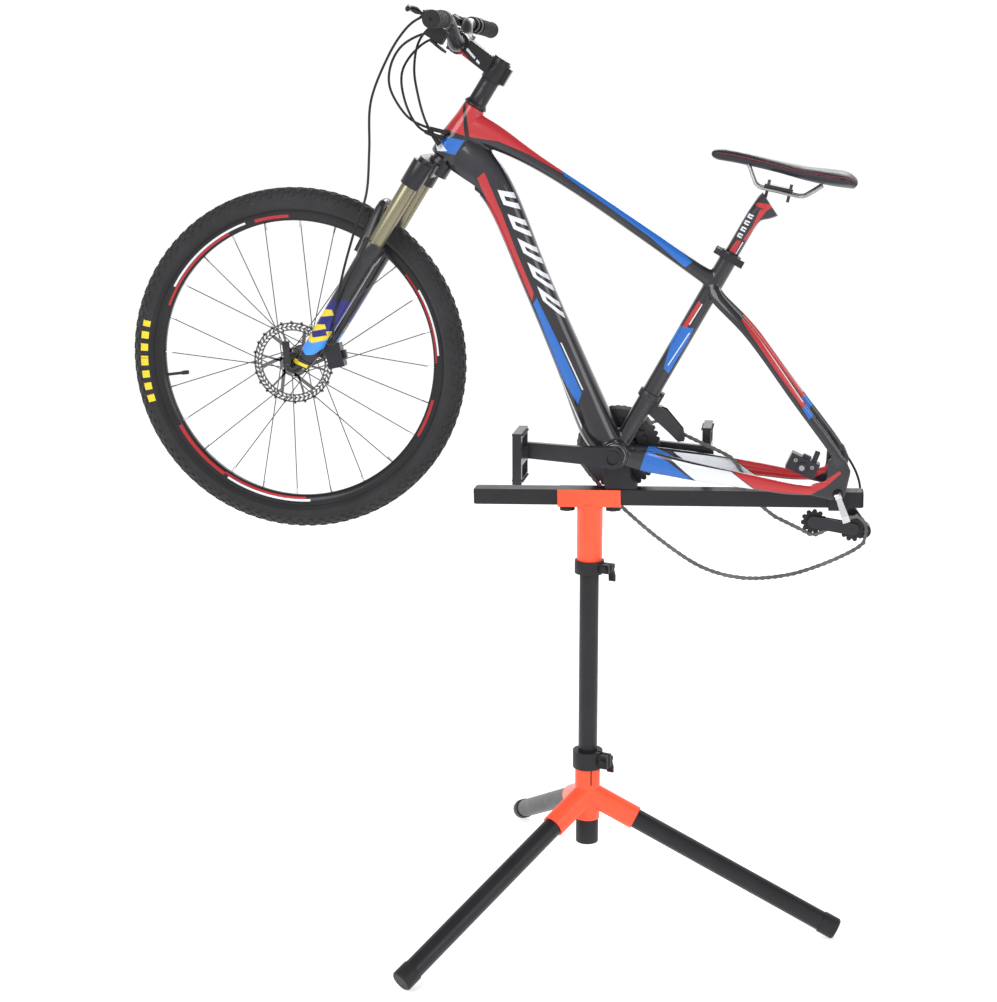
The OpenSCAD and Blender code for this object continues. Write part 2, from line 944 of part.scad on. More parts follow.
hub_gap = 100;
pad_t = 8;
module fork_lowers() {
  color(black)
    on_steer()
      difference() {
        union() {
          both_sides() {
            translate([-leg_offset, leg_gap / 2, 0])
              rotate_extrude($fn = round_fn)
                polygon([[0, 14], [14, 14], [18, 40], [lower_d / 2 - 1, 120],
                         [lower_d / 2, lower_top - 40], [lower_d / 2 + 2.5, lower_top - 30],
                         [lower_d / 2 + 2.5, lower_top], [0, lower_top]]);
            hull() {
              translate([-fork_offset, 0, 0])
                along_y(13, hub_gap / 2, hub_gap / 2 + pad_t);
              translate([-leg_offset, 0, 34])
                along_y(14, hub_gap / 2 + 1, hub_gap / 2 + pad_t + 10);
            }
          }
          arch();
        }
        both_sides() {
          translate([-leg_offset, leg_gap / 2, 26])
            cylinder(r = stanchion_d / 2 + fit, h = 400, $fn = round_fn);
          translate([-fork_offset, 0, 0]) {
            along_y(stub_r + 0.1, 0, leg_gap);
            along_y(9.4, hub_gap / 2 + pad_t, leg_gap);
          }
          translate([-fork_offset - stub_r - 0.1, 0, -30])
            cube([2 * stub_r + 0.2, leg_gap, 30]);
        }
      }
}

module arch() {
  y_leg = leg_gap / 2 - 8;
  rows = smooth([
    [-leg_offset - 16, -y_leg, lower_top - 34, 16, 7],
    [-leg_offset - 22, -y_leg + 6, lower_top, 13, 7],
    [-leg_offset - 32, -36, tyre_r + 12, 9, 8],
    [-leg_offset - 34, 0, tyre_r + 20, 8, 9],
    [-leg_offset - 32, 36, tyre_r + 12, 9, 8],
    [-leg_offset - 22, y_leg - 6, lower_top, 13, 7],
    [-leg_offset - 16, y_leg, lower_top - 34, 16, 7]
  ], 3);
  sweep([for (v = rows) [v[0], v[1], v[2]]], [for (v = rows) v[3]],
        [for (v = rows) v[4]], side = [0, 1, 1], n = 16);
}

rotor_y = -40.5;
// Brake caliper: an outer and an inner half with a slot for the rotor between them
module caliper_body(len, h, outer, inner) {
  difference() {
    translate([-len / 2, -outer, -h / 2])
      cube([len, outer + inner, h]);
    translate([-len, -1.6, -h])
      cube([2 * len, 3.2, 2 * h]);
  }
  translate([-len / 2, -outer, h / 2])
    cube([len, outer + inner, 6]);
}

module front_caliper() {
  color(black)
    on_front_axle()
      translate([63.5, rotor_y, 58])
        rotate([0, 45, 0])
          caliper_body(46, 26, 17, 8.6);
}

module front_skewer() {
  color(black)
    on_front_axle() {
      along_y(2.5, -leg_gap / 2 - 10, leg_gap / 2 + 6);
      difference() {
        along_y(9, hub_gap / 2 + pad_t + 0.1, hub_gap / 2 + pad_t + 8);
        along_y(2.5, 0, leg_gap);
      }
      difference() {
        along_y(9, -leg_gap / 2 - 5.2, -hub_gap / 2 - pad_t - 0.1);
        along_y(2.5, -leg_gap, 0);
      }
    }
}

front_lever_turn = 145;
module front_lever() {
  color(black)
    on_front_axle()
      translate([0, -leg_gap / 2 - 12, 0])
        cam_lever(front_lever_turn, 48);
}

module spin_y() rotate([-90, 0, 0]) children();

module front_hub() {
  color(black)
    on_front_axle()
      difference() {
        union() {
          spin_y()
            rotate_extrude($fn = round_fn)
              polygon([
                [0, -43], [20.2, -43], [20.2, -34], [29, -34], [29, -31], [17, -26], [15, 0],
                [16, 26], [26, 31], [26, 34], [14, 36], [12, 40], [0, 40]
              ]);
          along_y(9, -hub_gap / 2 + 0.3, hub_gap / 2 - 0.3);
        }
        along_y(2.5 + fit, -leg_gap, leg_gap);
      }
}

nipple_r = rim_in + 1;
module front_spokes() {
  color(silver)
    on_front_axle()
      spin_y()
        for (k = [0 : spokes - 1]) {
          side = k % 2 == 0 ? 1 : -1;
          lean = (floor(k / 2) % 2 == 0 ? 1 : -1) * 62;
          a = 360 * k / spokes;
          foot = [27 * cos(a + lean), 27 * sin(a + lean), side * (lean > 0 ? 35.5 : 29.5)];
          tip = [nipple_r * cos(a), nipple_r * sin(a), side * 2];
          d = tip - foot;
          translate(foot)
            rotate([0, acos(d[2] / norm(d)), atan2(d[1], d[0])])
              cylinder(r = 1, h = norm(d), $fn = 16);
        }
}

rim_out = rim_in + 20;
module front_rim() {
  color(black)
    on_front_axle()
      spin_y()
        rotate_extrude($fn = 96)
          polygon([
            [rim_in, -5], [rim_in, 5], [rim_in + 8, 13], [rim_out, 13], [rim_out, 11],
            [rim_in + 13, 10], [rim_in + 11, 4], [rim_in + 11, -4], [rim_in + 13, -10],
            [rim_out, -11], [rim_out, -13], [rim_in + 8, -13]
          ]);
}

// Section of a tyre: a round tread on walls that lead to the beads inside the rim
module tyre_section(mid, half, bead) {
  foot = rim_out - (bead > 10 ? 6 : 7);
  wall = sqrt(half * half - 64);
  intersection() {
    translate([mid, 0])
      circle(r = half, $fn = 48);
    translate([mid - 8, -half])
      square([2 * half, 2 * half]);
  }
  polygon([[foot, -bead], [rim_out, -bead], [mid - 7.9, -wall], [mid - 7.9, wall],
           [rim_out, bead], [foot, bead]]);
}

module front_tyre() {
  half = tyre_w / 2;
  mid = tyre_r - half;
  color(black)
    on_front_axle()
      spin_y()
        rotate_extrude($fn = 96)
          difference() {
            tyre_section(mid, half, 10.9);
            tyre_section(mid, half - 3.5, 8);
          }
}

module front_rotor() {
  color(steel)
    on_front_axle()
      translate([0, rotor_y + 1, 0])
        rotate([90, 0, 0])
          difference() {
            union() {
              ring(rotor_d / 2, rotor_d / 2 - 15, 2);
              cylinder(r = 26, h = 2, $fn = round_fn);
              for (a = [0 : 60 : 300])
                rotate([0, 0, a])
                  linear_extrude(height = 2)
                    polygon([[21, -8], [25, 8], [rotor_d / 2 - 12, 24],
                             [rotor_d / 2 - 12, 15], [40, 5]]);
            }
            translate([0, 0, -1])
              cylinder(r = 20.2, h = 4, $fn = round_fn);
            for (a = [0 : 15 : 345])
              rotate([0, 0, a])
                translate([rotor_d / 2 - 6, 0, -1])
                  cylinder(r = 2.2, h = 4, $fn = 16);
          }
}

// ---------------------------------------------------------------- drive

chain_pitch = 12.7;
chain_y = 47;
ring_r = chain_pitch / (2 * sin(180 / ring_teeth));
pulley_r = chain_pitch / (2 * sin(180 / pulley_teeth));
arm_turn = bike_pitch - crank_turn;

// Frame with -X along the front crank arm
module on_crank() {
  on_bike()
    rotate([0, -arm_turn, 0])
      children();
}

// Toothed disc in the XZ plane, its middle at y = 0
module toothed(r, teeth, h, bore_r) {
  translate([0, h / 2, 0])
    rotate([90, 0, 0])
      linear_extrude(height = h)
        difference() {
          polygon([
            for (k = [0 : 4 * teeth - 1])
              let (a = 90 * k / teeth, q = r + [3, 2, -3, 2][k % 4])
              [q * cos(a), q * sin(a)]
          ]);
          circle(r = bore_r, $fn = 48);
        }
}

arm_in = 64;
arm_t = 13;
// Crank arm from the spindle to the pedal eye, on the right side
module crank_arm() {
  difference() {
    union() {
      hull() {
        along_y(21, arm_in - 14, arm_in + arm_t - 2);
        translate([60, 0, 0])
          along_y(17, arm_in, arm_in + arm_t);
      }
      hull() {
        translate([60, 0, 0])
          along_y(17, arm_in, arm_in + arm_t);
        translate([crank_len, 0, 0])
          along_y(15.5, arm_in + 6, arm_in + arm_t + 6);
      }
    }
    along_y(12, 0, arm_in + arm_t + 20);
    translate([crank_len, 0, 0])
      along_y(7 + fit, 0, arm_in + arm_t + 20);
  }
}

module crank_right() {
  color(black)
    on_crank() {
      crank_arm();
      along_y(12, -arm_in - arm_t + 4, arm_in + arm_t);
      difference() {
        union() {
          along_y(24, chain_y + 3, arm_in - 8);
          for (a = [45 : 90 : 315])
            rotate([0, a, 0])
              translate([0, chain_y + 3, -9])
                cube([62, 5, 18]);
        }
        along_y(12, 0, 80);
      }
    }
}

module crank_left() {
  color(black)
    on_crank()
      mirror([0, 1, 0])
        mirror([1, 0, 0]) {
          crank_arm();
          difference() {
            along_y(15, arm_in + arm_t - 2, arm_in + arm_t + 3);
            along_y(12, 0, 100);
          }
        }
}

module chainrings() {
  color(steel)
    on_crank() {
      translate([0, chain_y, 0])
        toothed(ring_r, ring_teeth, 3, 50);
      difference() {
        translate([0, chain_y - 8, 0])
          toothed(chain_pitch / (2 * sin(180 / 28)), 28, 3, 40);
      }
      for (a = [45 : 90 : 315])
        rotate([0, a, 0])
          translate([48, 0, 0])
            difference() {
              along_y(5, chain_y - 6.5, chain_y - 1.5);
              along_y(2, 0, 80);
            }
    }
}

pedal_w = 90;
pedal_l = 98;
pedal_t = 17;
pedal_y = arm_in + arm_t + 8;
// Platform pedal standing on its edge, on the right side of the bicycle
module pedal() {
  rotate([0, -bike_pitch + arm_turn, 0]) {
    difference() {
      translate([-pedal_t / 2, pedal_y + 2, -pedal_l / 2])
        cube([pedal_t, pedal_w, pedal_l]);
      for (z = [-pedal_l / 2 + 10, 14])
        translate([-pedal_t, pedal_y + 12, z])
          cube([2 * pedal_t, pedal_w - 22, pedal_l / 2 - 24]);
      along_y(4.5, 0, pedal_y + pedal_w - 8);
    }
    for (z = [-pedal_l / 2 + 5, pedal_l / 2 - 5], y = [14 : 15.5 : 80])
      translate([-pedal_t / 2 - 3, pedal_y + y, z])
        rotate([0, 90, 0])
          cylinder(r = 2, h = pedal_t + 6, $fn = 16);
  }
  along_y(7, arm_in + 6, pedal_y + 1.8);
  along_y(4.5, arm_in + 6, pedal_y + pedal_w - 8);
}

module pedal_right() {
  color(black)
    on_crank()
      translate([crank_len, 0, 0])
        pedal();
}

module pedal_left() {
  color(black)
    on_crank()
      mirror([0, 1, 0])
        translate([-crank_len, 0, 0])
          pedal();
}

clamp_s = 122;
module front_derailleur() {
  color(steel)
    on_seat() {
      translate([0, 0, clamp_s])
        ring(seat_tube_d / 2 + 4, seat_tube_d / 2, 15);
      difference() {
        translate([4, 10, clamp_s - 6])
          cube([22, 22, 27]);
        cylinder(r = seat_tube_d / 2, h = 400, $fn = round_fn);
      }
    }
}

// Cage plates each side of the chain, joined by a bridge above and a pin behind
module derailleur_cage_front() {
  color(steel)
    on_bike() {
      for (y = [chain_y - 13, chain_y + 7])
        translate([0, y + 1.5, 0])
          rotate([90, 0, 0])
            linear_extrude(height = 1.5)
              polygon([[28, 86], [34, 104], [76, 97], [116, 66], [124, 44], [112, 40],
                       [90, 54], [62, 70], [44, 80]]);
      translate([36, chain_y - 13, 98])
        cube([30, 21.5, 2]);
      translate([115, 0, 43.2])
        along_y(2, chain_y - 13, chain_y + 8.5);
    }
}

// Places in the plane of the bicycle, from the bottom bracket
hanger = [rear_x + 9, 8];
knuckle = [rear_x + 76, -54];
guide_at = [rear_x + 53, -52];
tension_at = [rear_x - 24, -56];
cage_y = chain_y + 8;

module bar_link(a, b, r, y0, y1) {
  hull()
    for (p = [a, b])
      translate([p[0], 0, p[1]])
        along_y(r, y0, y1);
}

module rear_derailleur() {
  color(black)
    on_bike() {
      bar_link([rear_x + 4, bb_drop - 18], hanger, 7, rear_gap / 2 + dropout_t + 0.2,
               rear_gap / 2 + dropout_t + 4);
      translate([hanger[0], 0, hanger[1]])
        along_y(10, rear_gap / 2 + dropout_t + 4.2, rear_gap / 2 + dropout_t + 22);
      bar_link(hanger, [hanger[0] + 22, hanger[1] - 22], 8,
               rear_gap / 2 + dropout_t + 6, rear_gap / 2 + dropout_t + 20);
      bar_link([hanger[0] + 22, hanger[1] - 22], knuckle, 11,
               rear_gap / 2 + dropout_t + 2, rear_gap / 2 + dropout_t + 18);
      translate([knuckle[0], 0, knuckle[1]])
        along_y(14, cage_y + 2, rear_gap / 2 + dropout_t + 14);
    }
}

module derailleur_cage_rear() {
  color(black)
    on_bike() {
      for (y = [chain_y - 7, chain_y + 5])
        difference() {
          union() {
            bar_link(guide_at, tension_at, 12, y, y + 2);
            if (y > chain_y)
              bar_link(guide_at, knuckle, 11, y, y + 2);
          }
          for (p = [guide_at, tension_at])
            translate([p[0], 0, p[1]])
              along_y(2.6, 0, 100);
        }
      for (p = [guide_at, tension_at])
        translate([p[0], 0, p[1]])
          along_y(2.6, chain_y - 8, chain_y + 8);
    }
}

module pulley(at) {
  color(black)
    on_bike()
      translate([at[0], chain_y, at[1]])
        toothed(pulley_r, pulley_teeth, 3, 2.6 + fit);
}
module guide_pulley() pulley(guide_at);
module tension_pulley() pulley(tension_at);

// Closed route of the slack chain: round the chainring, under the front pulley and
// over the rear one
function arc(c, r, a0, a1, step) = [
  for (k = [0 : ceil(abs(a1 - a0) / step)])
    let (a = a0 + (a1 - a0) * k / ceil(abs(a1 - a0) / step))
    [c[0] + r * cos(a), c[1] + r * sin(a)]
];
chain_r = ring_r;
chain_path = concat(
  arc([0, 0], chain_r, 50, 218, 8),
  smooth([[-64, -50], [-30, -78], [40, -122], [124, -166], [215, -200], [300, -202],
          [380, -176], [440, -140], [490, -100], [512, -76]], 2),
  arc(guide_at, pulley_r + 4, 0, 100, 25),
  arc(tension_at, pulley_r + 4, -60, -120, 20),
  smooth([[330, -64], [285, -40], [262, -14], [245, 10], [226, 28], [205, 36], [150, 48], [90, 62],
          [66, 72]], 2)
);

module chain() {
  m = len(chain_path);
  t = [for (i = [0 : m - 1]) unit(chain_path[(i + 1) % m] - chain_path[(i + m - 1) % m])];
  half = 3.6;
  outer = [for (i = [0 : m - 1]) chain_path[i] + half * [t[i][1], -t[i][0]]];
  inner = [for (i = [0 : m - 1]) chain_path[i] - half * [t[i][1], -t[i][0]]];
  color(steel)
    on_bike()
      difference() {
        translate([0, chain_y + 3.4, 0])
          rotate([90, 0, 0])
            linear_extrude(height = 6.8)
              polygon(concat(outer, inner),
                      [[for (i = [0 : m - 1]) i], [for (i = [0 : m - 1]) m + i]]);
        translate([0, chain_y, 0])
          along_y(ring_r + 3.2, -1.9, 1.9);
        for (p = [guide_at, tension_at])
          translate([p[0], chain_y, p[1]])
            along_y(pulley_r + 3.2, -1.9, 1.9);
      }
}

module rear_caliper() {
  color(black)
    on_bike() {
      translate([rear_x - 78, -rear_gap / 2 + 10, bb_drop + 34])
        rotate([0, 12, 0])
          caliper_body(58, 26, 15, 15);
      translate([rear_x - 56, -rear_gap / 2 + 3, bb_drop + 46])
        rotate([0, 8, 0])
          translate([-8, -4, 0])
            cube([10, 10, 24]);
    }
}

// ---------------------------------------------------------------- seat

post_top = 566;
post_bottom = 250;
rail_spread = 22;
clamp_mid = seat_at(post_top);
module seatpost() {
  head = [clamp_mid[0] + 22, 0, clamp_mid[2] + 14];
  color(black) {
    on_seat()
      translate([0, 0, post_bottom])
        cylinder(d = post_d, h = post_top - post_bottom - 36, $fn = round_fn);
    on_bike()
      loft([
        row(seat_at(post_top - 62), post_d / 2 - 0.3, post_d / 2 - 0.3),
        row(seat_at(post_top - 38) + [2, 0, 0], 15.5, 15),
        row(seat_at(post_top - 20) + [11, 0, 0], 24, 18),
        row(seat_at(post_top - 10) + [17, 0, 0], 27, 22)
      ], n = 24, q = 0.9);
    on_bike()
      translate(head) {
        for (x = [-20, 22])
          translate([x, 0, -14])
            cylinder(r = 3, h = 34, $fn = 24);
        translate([-27, -27, 7.2])
          cube([54, 54, 5]);
      }
  }
}

module saddle_rails() {
  head_z = clamp_mid[2] + 14 + 3.2;
  hx = clamp_mid[0] + 22;
  color(silver)
    on_bike()
      both_sides()
        cord([
          [hx - 74, 7, saddle_h - 14], [hx - 62, 10, saddle_h - 22],
          [hx - 44, rail_spread - 4, head_z + 5], [hx - 28, rail_spread, head_z],
          [hx, rail_spread, head_z], [hx + 40, rail_spread, head_z - 1],
          [hx + 56, rail_spread + 6, head_z + 6], [hx + 78, rail_spread + 14, saddle_h - 27]
        ], 3.5, 2);
}

saddle_nose = 50;
module saddle() {
  x0 = saddle_nose;
  color(black)
    on_bike()
      loft([
        [x0, 0, saddle_h - 17, 5, 11],
        [x0 + 0.04 * saddle_len, 0, saddle_h - 12, 9, 17],
        [x0 + 0.20 * saddle_len, 0, saddle_h - 10, 9, 20],
        [x0 + 0.45 * saddle_len, 0, saddle_h - 11, 9, 30],
        [x0 + 0.65 * saddle_len, 0, saddle_h - 12, 11, saddle_w * 0.34],
        [x0 + 0.80 * saddle_len, 0, saddle_h - 10, 13, saddle_w * 0.46],
        [x0 + 0.92 * saddle_len, 0, saddle_h - 8, 13, saddle_w * 0.49],
        [x0 + saddle_len, 0, saddle_h - 12, 8, saddle_w * 0.36]
      ], k = 2, n = 24, q = 0.8);
}

seat_bolt_x = -seat_tube_d / 2 - 8;
seat_cam_y = -21;
module seat_clamp() {
  color(black)
    on_seat()
      translate([0, 0, seat_len - 17]) {
        difference() {
          union() {
            cylinder(r = seat_tube_d / 2 + 3, h = 16, $fn = round_fn);
            translate([seat_bolt_x - 6, -9, 1])
              cube([18, 18, 14]);
          }
          translate([0, 0, -1])
            cylinder(r = seat_tube_d / 2, h = 30, $fn = round_fn);
          translate([-40, -2, -1])
            cube([40, 4, 30]);
        }
        translate([seat_bolt_x, 0, 8]) {
          along_y(2.5, seat_cam_y + 2, 12);
          along_y(6, 9, 13);
          along_y(6, seat_cam_y + cam_r + 0.3, -9);
        }
      }
}

module seat_lever() {
  color(black)
    on_seat()
      translate([seat_bolt_x, seat_cam_y, seat_len - 9])
        cam_lever(-90, 55);
}

// ---------------------------------------------------------------- cables

// Routes in the steering frame, chosen by hand
front_hose = [
  [-135, -110, 718], [-156, -97, 704], [-172, -88, 670], [-176, -82, 610], [-163, -74, 520],
  [-120, -68, 440], [-80, -84, 370], [-62, -94, 300], [-40, -95, 220], [-16, -92, 150],
  [2, -82, 104], [10, -68, 84]
];
left_housing = [
  [-105, -113, 697], [-135, -104, 682], [-163, -84, 640], [-166, -66, 595], [-148, -46, 556],
  [-100, -36, 530], [-60, -32, 530], [-14, -31, 544]
];
right_housing = [
  [-105, 113, 697], [-130, 104, 690], [-158, 60, 650], [-155, 0, 595], [-118, -28, 552],
  [-66, -38, 524], [-15, -32, 531]
];
rear_hose = [
  [-135, 110, 718], [-160, 92, 700], [-165, 50, 655], [-140, 8, 610], [-105, -18, 575],
  [-62, -32, 540], [-16, -33, 516]
];
// Loop from the right stay to the rear derailleur, in the frame of the bicycle
rear_loop = [
  [412, 78.3, 104], [428, 78, 92], [448, 80, 74], [468, 82, 50], [482, 86, 22], [489, 88, -17]
];

module cables() {
  color(black) {
    on_steer()
      for (route = [front_hose, left_housing, right_housing, rear_hose])
        cord(route, 2.5);
    on_bike()
      cord(rear_loop, 2.5);
  }
}

tripod_hub();
tripod_legs();
tripod_caps();
lower_collar();
lower_lever();
mast();
upper_collar();
upper_lever();
head_bracket();
knob_front();
knob_rear();
rail();
bb_cradle();
axle_carriage();
axle_lever();
head_tube();
top_tube();
down_tube();
seat_tube();
rear_stays();
bearing_cups();
fork_crown();
stanchions();
steerer_spacers();
stem();
handlebar();
grips();
bar_controls();
brake_blade_left();
brake_blade_right();
shift_lever_left();
shift_lever_right();
fork_lowers();
front_caliper();
front_skewer();
front_lever();
front_hub();
front_spokes();
front_rim();
front_tyre();
front_rotor();
crank_right();
crank_left();
chainrings();
pedal_left();
pedal_right();
front_derailleur();
derailleur_cage_front();
rear_derailleur();
derailleur_cage_rear();
guide_pulley();
tension_pulley();
chain();
rear_caliper();
seatpost();
seat_clamp();
seat_lever();
saddle_rails();
saddle();
cables();
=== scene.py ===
"""Looks of a hardtail mountain bicycle on a tripod work stand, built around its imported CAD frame.

Local shapes are in millimetres of one of the frames below and are placed in metres."""

import json
import math

import bmesh
import bpy
import numpy as np
from mathutils import Matrix, Vector


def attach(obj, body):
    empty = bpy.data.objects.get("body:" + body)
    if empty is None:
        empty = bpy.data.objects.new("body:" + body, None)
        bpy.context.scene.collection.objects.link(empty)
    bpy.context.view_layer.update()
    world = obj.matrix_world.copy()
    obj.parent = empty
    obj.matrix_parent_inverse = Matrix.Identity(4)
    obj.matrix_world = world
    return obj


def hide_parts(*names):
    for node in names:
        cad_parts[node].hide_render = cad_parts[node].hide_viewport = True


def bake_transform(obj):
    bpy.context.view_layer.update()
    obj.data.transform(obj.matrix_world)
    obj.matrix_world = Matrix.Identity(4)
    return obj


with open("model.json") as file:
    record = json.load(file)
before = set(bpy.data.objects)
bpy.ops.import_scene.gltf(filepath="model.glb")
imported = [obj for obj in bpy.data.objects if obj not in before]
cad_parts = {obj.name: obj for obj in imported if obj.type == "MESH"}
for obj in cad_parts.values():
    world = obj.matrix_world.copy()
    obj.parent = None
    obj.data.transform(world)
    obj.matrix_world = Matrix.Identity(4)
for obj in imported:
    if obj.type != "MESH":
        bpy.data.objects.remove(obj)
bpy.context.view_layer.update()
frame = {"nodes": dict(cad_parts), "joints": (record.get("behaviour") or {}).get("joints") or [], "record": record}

MM = 0.001
joints = {j["name"]: j for j in frame["joints"]}

# ---------------------------------------------------------------- frames


def turned(origin, angle):
    """Frame in millimetres at origin, turned about Y."""
    return (
        Matrix.Translation(origin)
        @ Matrix.Rotation(angle, 4, "Y")
        @ Matrix.Scale(MM, 4)
    )


def lean(axis):
    """Angle of an axis from the vertical, about Y."""
    return math.atan2(axis[0], axis[2])


BB = Vector(joints["crank_spin"]["pos_m"])
SEAT_ANGLE = 73  # of the seat tube, from the bicycle's own level
BIKE = turned(BB, lean(joints["seat_height"]["axis"]) - math.radians(90 - SEAT_ANGLE))
STEER = turned(
    Vector(joints["steering_turn"]["pos_m"]), lean(joints["steering_turn"]["axis"])
)
WHEEL = turned(Vector(joints["wheel_spin"]["pos_m"]), 0)
pedal_side = Vector(joints["pedal_right_spin"]["pos_m"]) - BB
CRANK = turned(BB, -math.atan2(pedal_side.z, pedal_side.x))
SPOKE_TURN = lean(joints["steering_turn"]["axis"])

REAR_X = 431.7  # rear axle behind the bottom bracket
BB_DROP = 33  # rear axle above the bottom bracket
CHAIN_Y = 47  # chain line beside the middle plane

# ---------------------------------------------------------------- materials


class Graph:
    """A material and short ways to add nodes to it."""

    def __init__(self, name):
        self.material = bpy.data.materials.new(name)
        self.material.use_nodes = True
        self.tree = self.material.node_tree
        self.shader = self.tree.nodes["Principled BSDF"]
        self.place = self.node("ShaderNodeTexCoord").outputs["Object"]

    def node(self, kind, inputs=None, **settings):
        made = self.tree.nodes.new(kind)
        for key, value in settings.items():
            setattr(made, key, value)
        for key, value in (inputs or {}).items():
            self.put(made.inputs[key], value)
        return made

    def put(self, socket, value):
        if isinstance(value, bpy.types.NodeSocket):
            self.tree.links.new(value, socket)
        else:
            socket.default_value = value

    def calc(self, operation, a, b=0.0, c=0.0):
        made = self.node("ShaderNodeMath", operation=operation)
        for socket, value in zip(made.inputs, (a, b, c)):
            self.put(socket, value)
        return made.outputs[0]

    def mix(self, share, a, b):
        made = self.node("ShaderNodeMix", data_type="RGBA")
        self.put(made.inputs["Factor"], share)
        for key, value in (("A", a), ("B", b)):
            socket = [s for s in made.inputs if s.name == key and s.type == "RGBA"][0]
            self.put(socket, value if isinstance(value, bpy.types.NodeSocket) else (*value, 1))
        return [s for s in made.outputs if s.type == "RGBA"][0]

    def noise(self, scale, detail=4.0, stretch=(1, 1, 1)):
        place = self.node(
            "ShaderNodeMapping", {"Vector": self.place, "Scale": stretch}
        ).outputs[0]
        made = self.node(
            "ShaderNodeTexNoise", {"Vector": place, "Scale": scale, "Detail": detail}
        )
        return made.outputs["Fac"]

    def span(self, value, low, high, start=0.3, end=0.7):
        made = self.node(
            "ShaderNodeMapRange",
            {"Value": value, "From Min": start, "From Max": end, "To Min": low, "To Max": high},
        )
        return made.outputs[0]

    def bump(self, height, strength, distance):
        made = self.node(
            "ShaderNodeBump", {"Height": height, "Strength": strength, "Distance": distance}
        )
        self.put(self.shader.inputs["Normal"], made.outputs[0])

    def plane(self, terms, matrix):
        """Linear function of place: a * x + b * z + c in millimetres of a frame."""
        a, b, c = terms
        inverse = np.array(matrix.inverted())
        row = inverse[0] * a + inverse[2] * b
        made = self.node(
            "ShaderNodeVectorMath",
            {0: self.place, 1: (row[0], row[1], row[2])},
            operation="DOT_PRODUCT",
        )
        return self.calc("ADD", made.outputs["Value"], float(row[3] + c))

    def inside(self, corners, matrix):
        """1 inside a convex outline in the XZ plane of a frame, and 0 outside it."""
        area = sum(
            p[0] * q[1] - q[0] * p[1] for p, q in zip(corners, corners[1:] + corners[:1])
        )
        sign = 1 if area > 0 else -1
        depth = None
        for p, q in zip(corners, corners[1:] + corners[:1]):
            length = math.hypot(q[0] - p[0], q[1] - p[1])
            a, b = -sign * (q[1] - p[1]) / length, sign * (q[0] - p[0]) / length
            edge = self.plane((a, b, -a * p[0] - b * p[1]), matrix)
            depth = edge if depth is None else self.calc("MINIMUM", depth, edge)
        return self.calc("GREATER_THAN", depth, 0.0)


def finish(
    name, base, spread=0.12, rough=(0.3, 0.4), metal=0.0, coat=0.0, grain=600.0,
    bump=0.1, depth=0.0002, stretch=(1, 1, 1), cells=False, sheen=0.0, shine=0.3, paint=None,
):
    """A procedural finish: base colour with slow variation, uneven gloss and a fine grain."""
    g = Graph(name)
    shade = g.span(g.noise(14.0), 1 - spread, 1 + spread)
    colour = g.node(
        "ShaderNodeVectorMath",
        {0: tuple(base), "Scale": shade},
        operation="SCALE",
    ).outputs[0]
    if paint:
        colour = paint(g, colour)
    g.put(g.shader.inputs["Base Color"], colour)
    fine = g.noise(grain, 2.0, stretch)
    smudge = g.noise(35.0)
    g.put(
        g.shader.inputs["Roughness"],
        g.span(
            g.calc("ADD", g.calc("MULTIPLY", fine, 0.5), g.calc("MULTIPLY", smudge, 0.5)), *rough
        ),
    )
    if cells:
        fine = g.node(
            "ShaderNodeTexVoronoi", {"Vector": g.place, "Scale": grain}
        ).outputs["Distance"]
    g.bump(fine, bump, depth)
    g.shader.inputs["Metallic"].default_value = metal
    g.shader.inputs["Coat Weight"].default_value = coat
    g.shader.inputs["Coat Roughness"].default_value = 0.04
    g.shader.inputs["Coat IOR"].default_value = 1.32
    g.shader.inputs["Sheen Weight"].default_value = sheen
    g.shader.inputs["Specular IOR Level"].default_value = shine
    return g.material


RED = (0.42, 0.022, 0.028)
BLUE = (0.012, 0.12, 0.46)
WHITE = (0.66, 0.68, 0.72)
BLACK = (0.006, 0.006, 0.008)
CARBON = (0.017, 0.016, 0.021)
NAVY = (0.012, 0.012, 0.16)
YELLOW = (0.72, 0.56, 0.03)
SKY = (0.05, 0.26, 0.75)


def painter(layers, matrix, side=None):
    """Paint layers, each a colour and convex outlines in the XZ plane of a frame."""

    def paint(g, colour):
        for shade, *outlines in layers:
            for outline in outlines:
                mask = g.inside(outline, matrix)
                if side is not None:
                    y = g.node("ShaderNodeSeparateXYZ", {0: g.place}).outputs[1]
                    mask = g.calc(
                        "MULTIPLY", mask, g.calc("GREATER_THAN", g.calc("ABSOLUTE", y), side)
                    )
                colour = g.mix(mask, colour, shade)
        return colour

    return paint


def band(upper, lower):
    """Convex pieces between two lines with the same number of points."""
    return [
        [upper[i], upper[i + 1], lower[i + 1], lower[i]] for i in range(len(upper) - 1)
    ]


def marks(left, right, count, fill=0.72):
    """Slotted bars between two straight lines, in place of lettering."""

    def at(t, w):
        p = [left[0][i] + (left[1][i] - left[0][i]) * t for i in (0, 1)]
        q = [right[0][i] + (right[1][i] - right[0][i]) * t for i in (0, 1)]
        return tuple(p[i] + (q[i] - p[i]) * w for i in (0, 1))

    out = []
    for k in range(count):
        for a, b, u, v in ((0, 0.30, 0, 1), (0.55, 0.85, 0, 1), (0.30, 0.55, 0.0, 0.28)):
            t0, t1 = (k + a * fill) / count, (k + b * fill) / count
            out.append([at(t0, u), at(t0, v), at(t1, v), at(t1, u)])
    return out


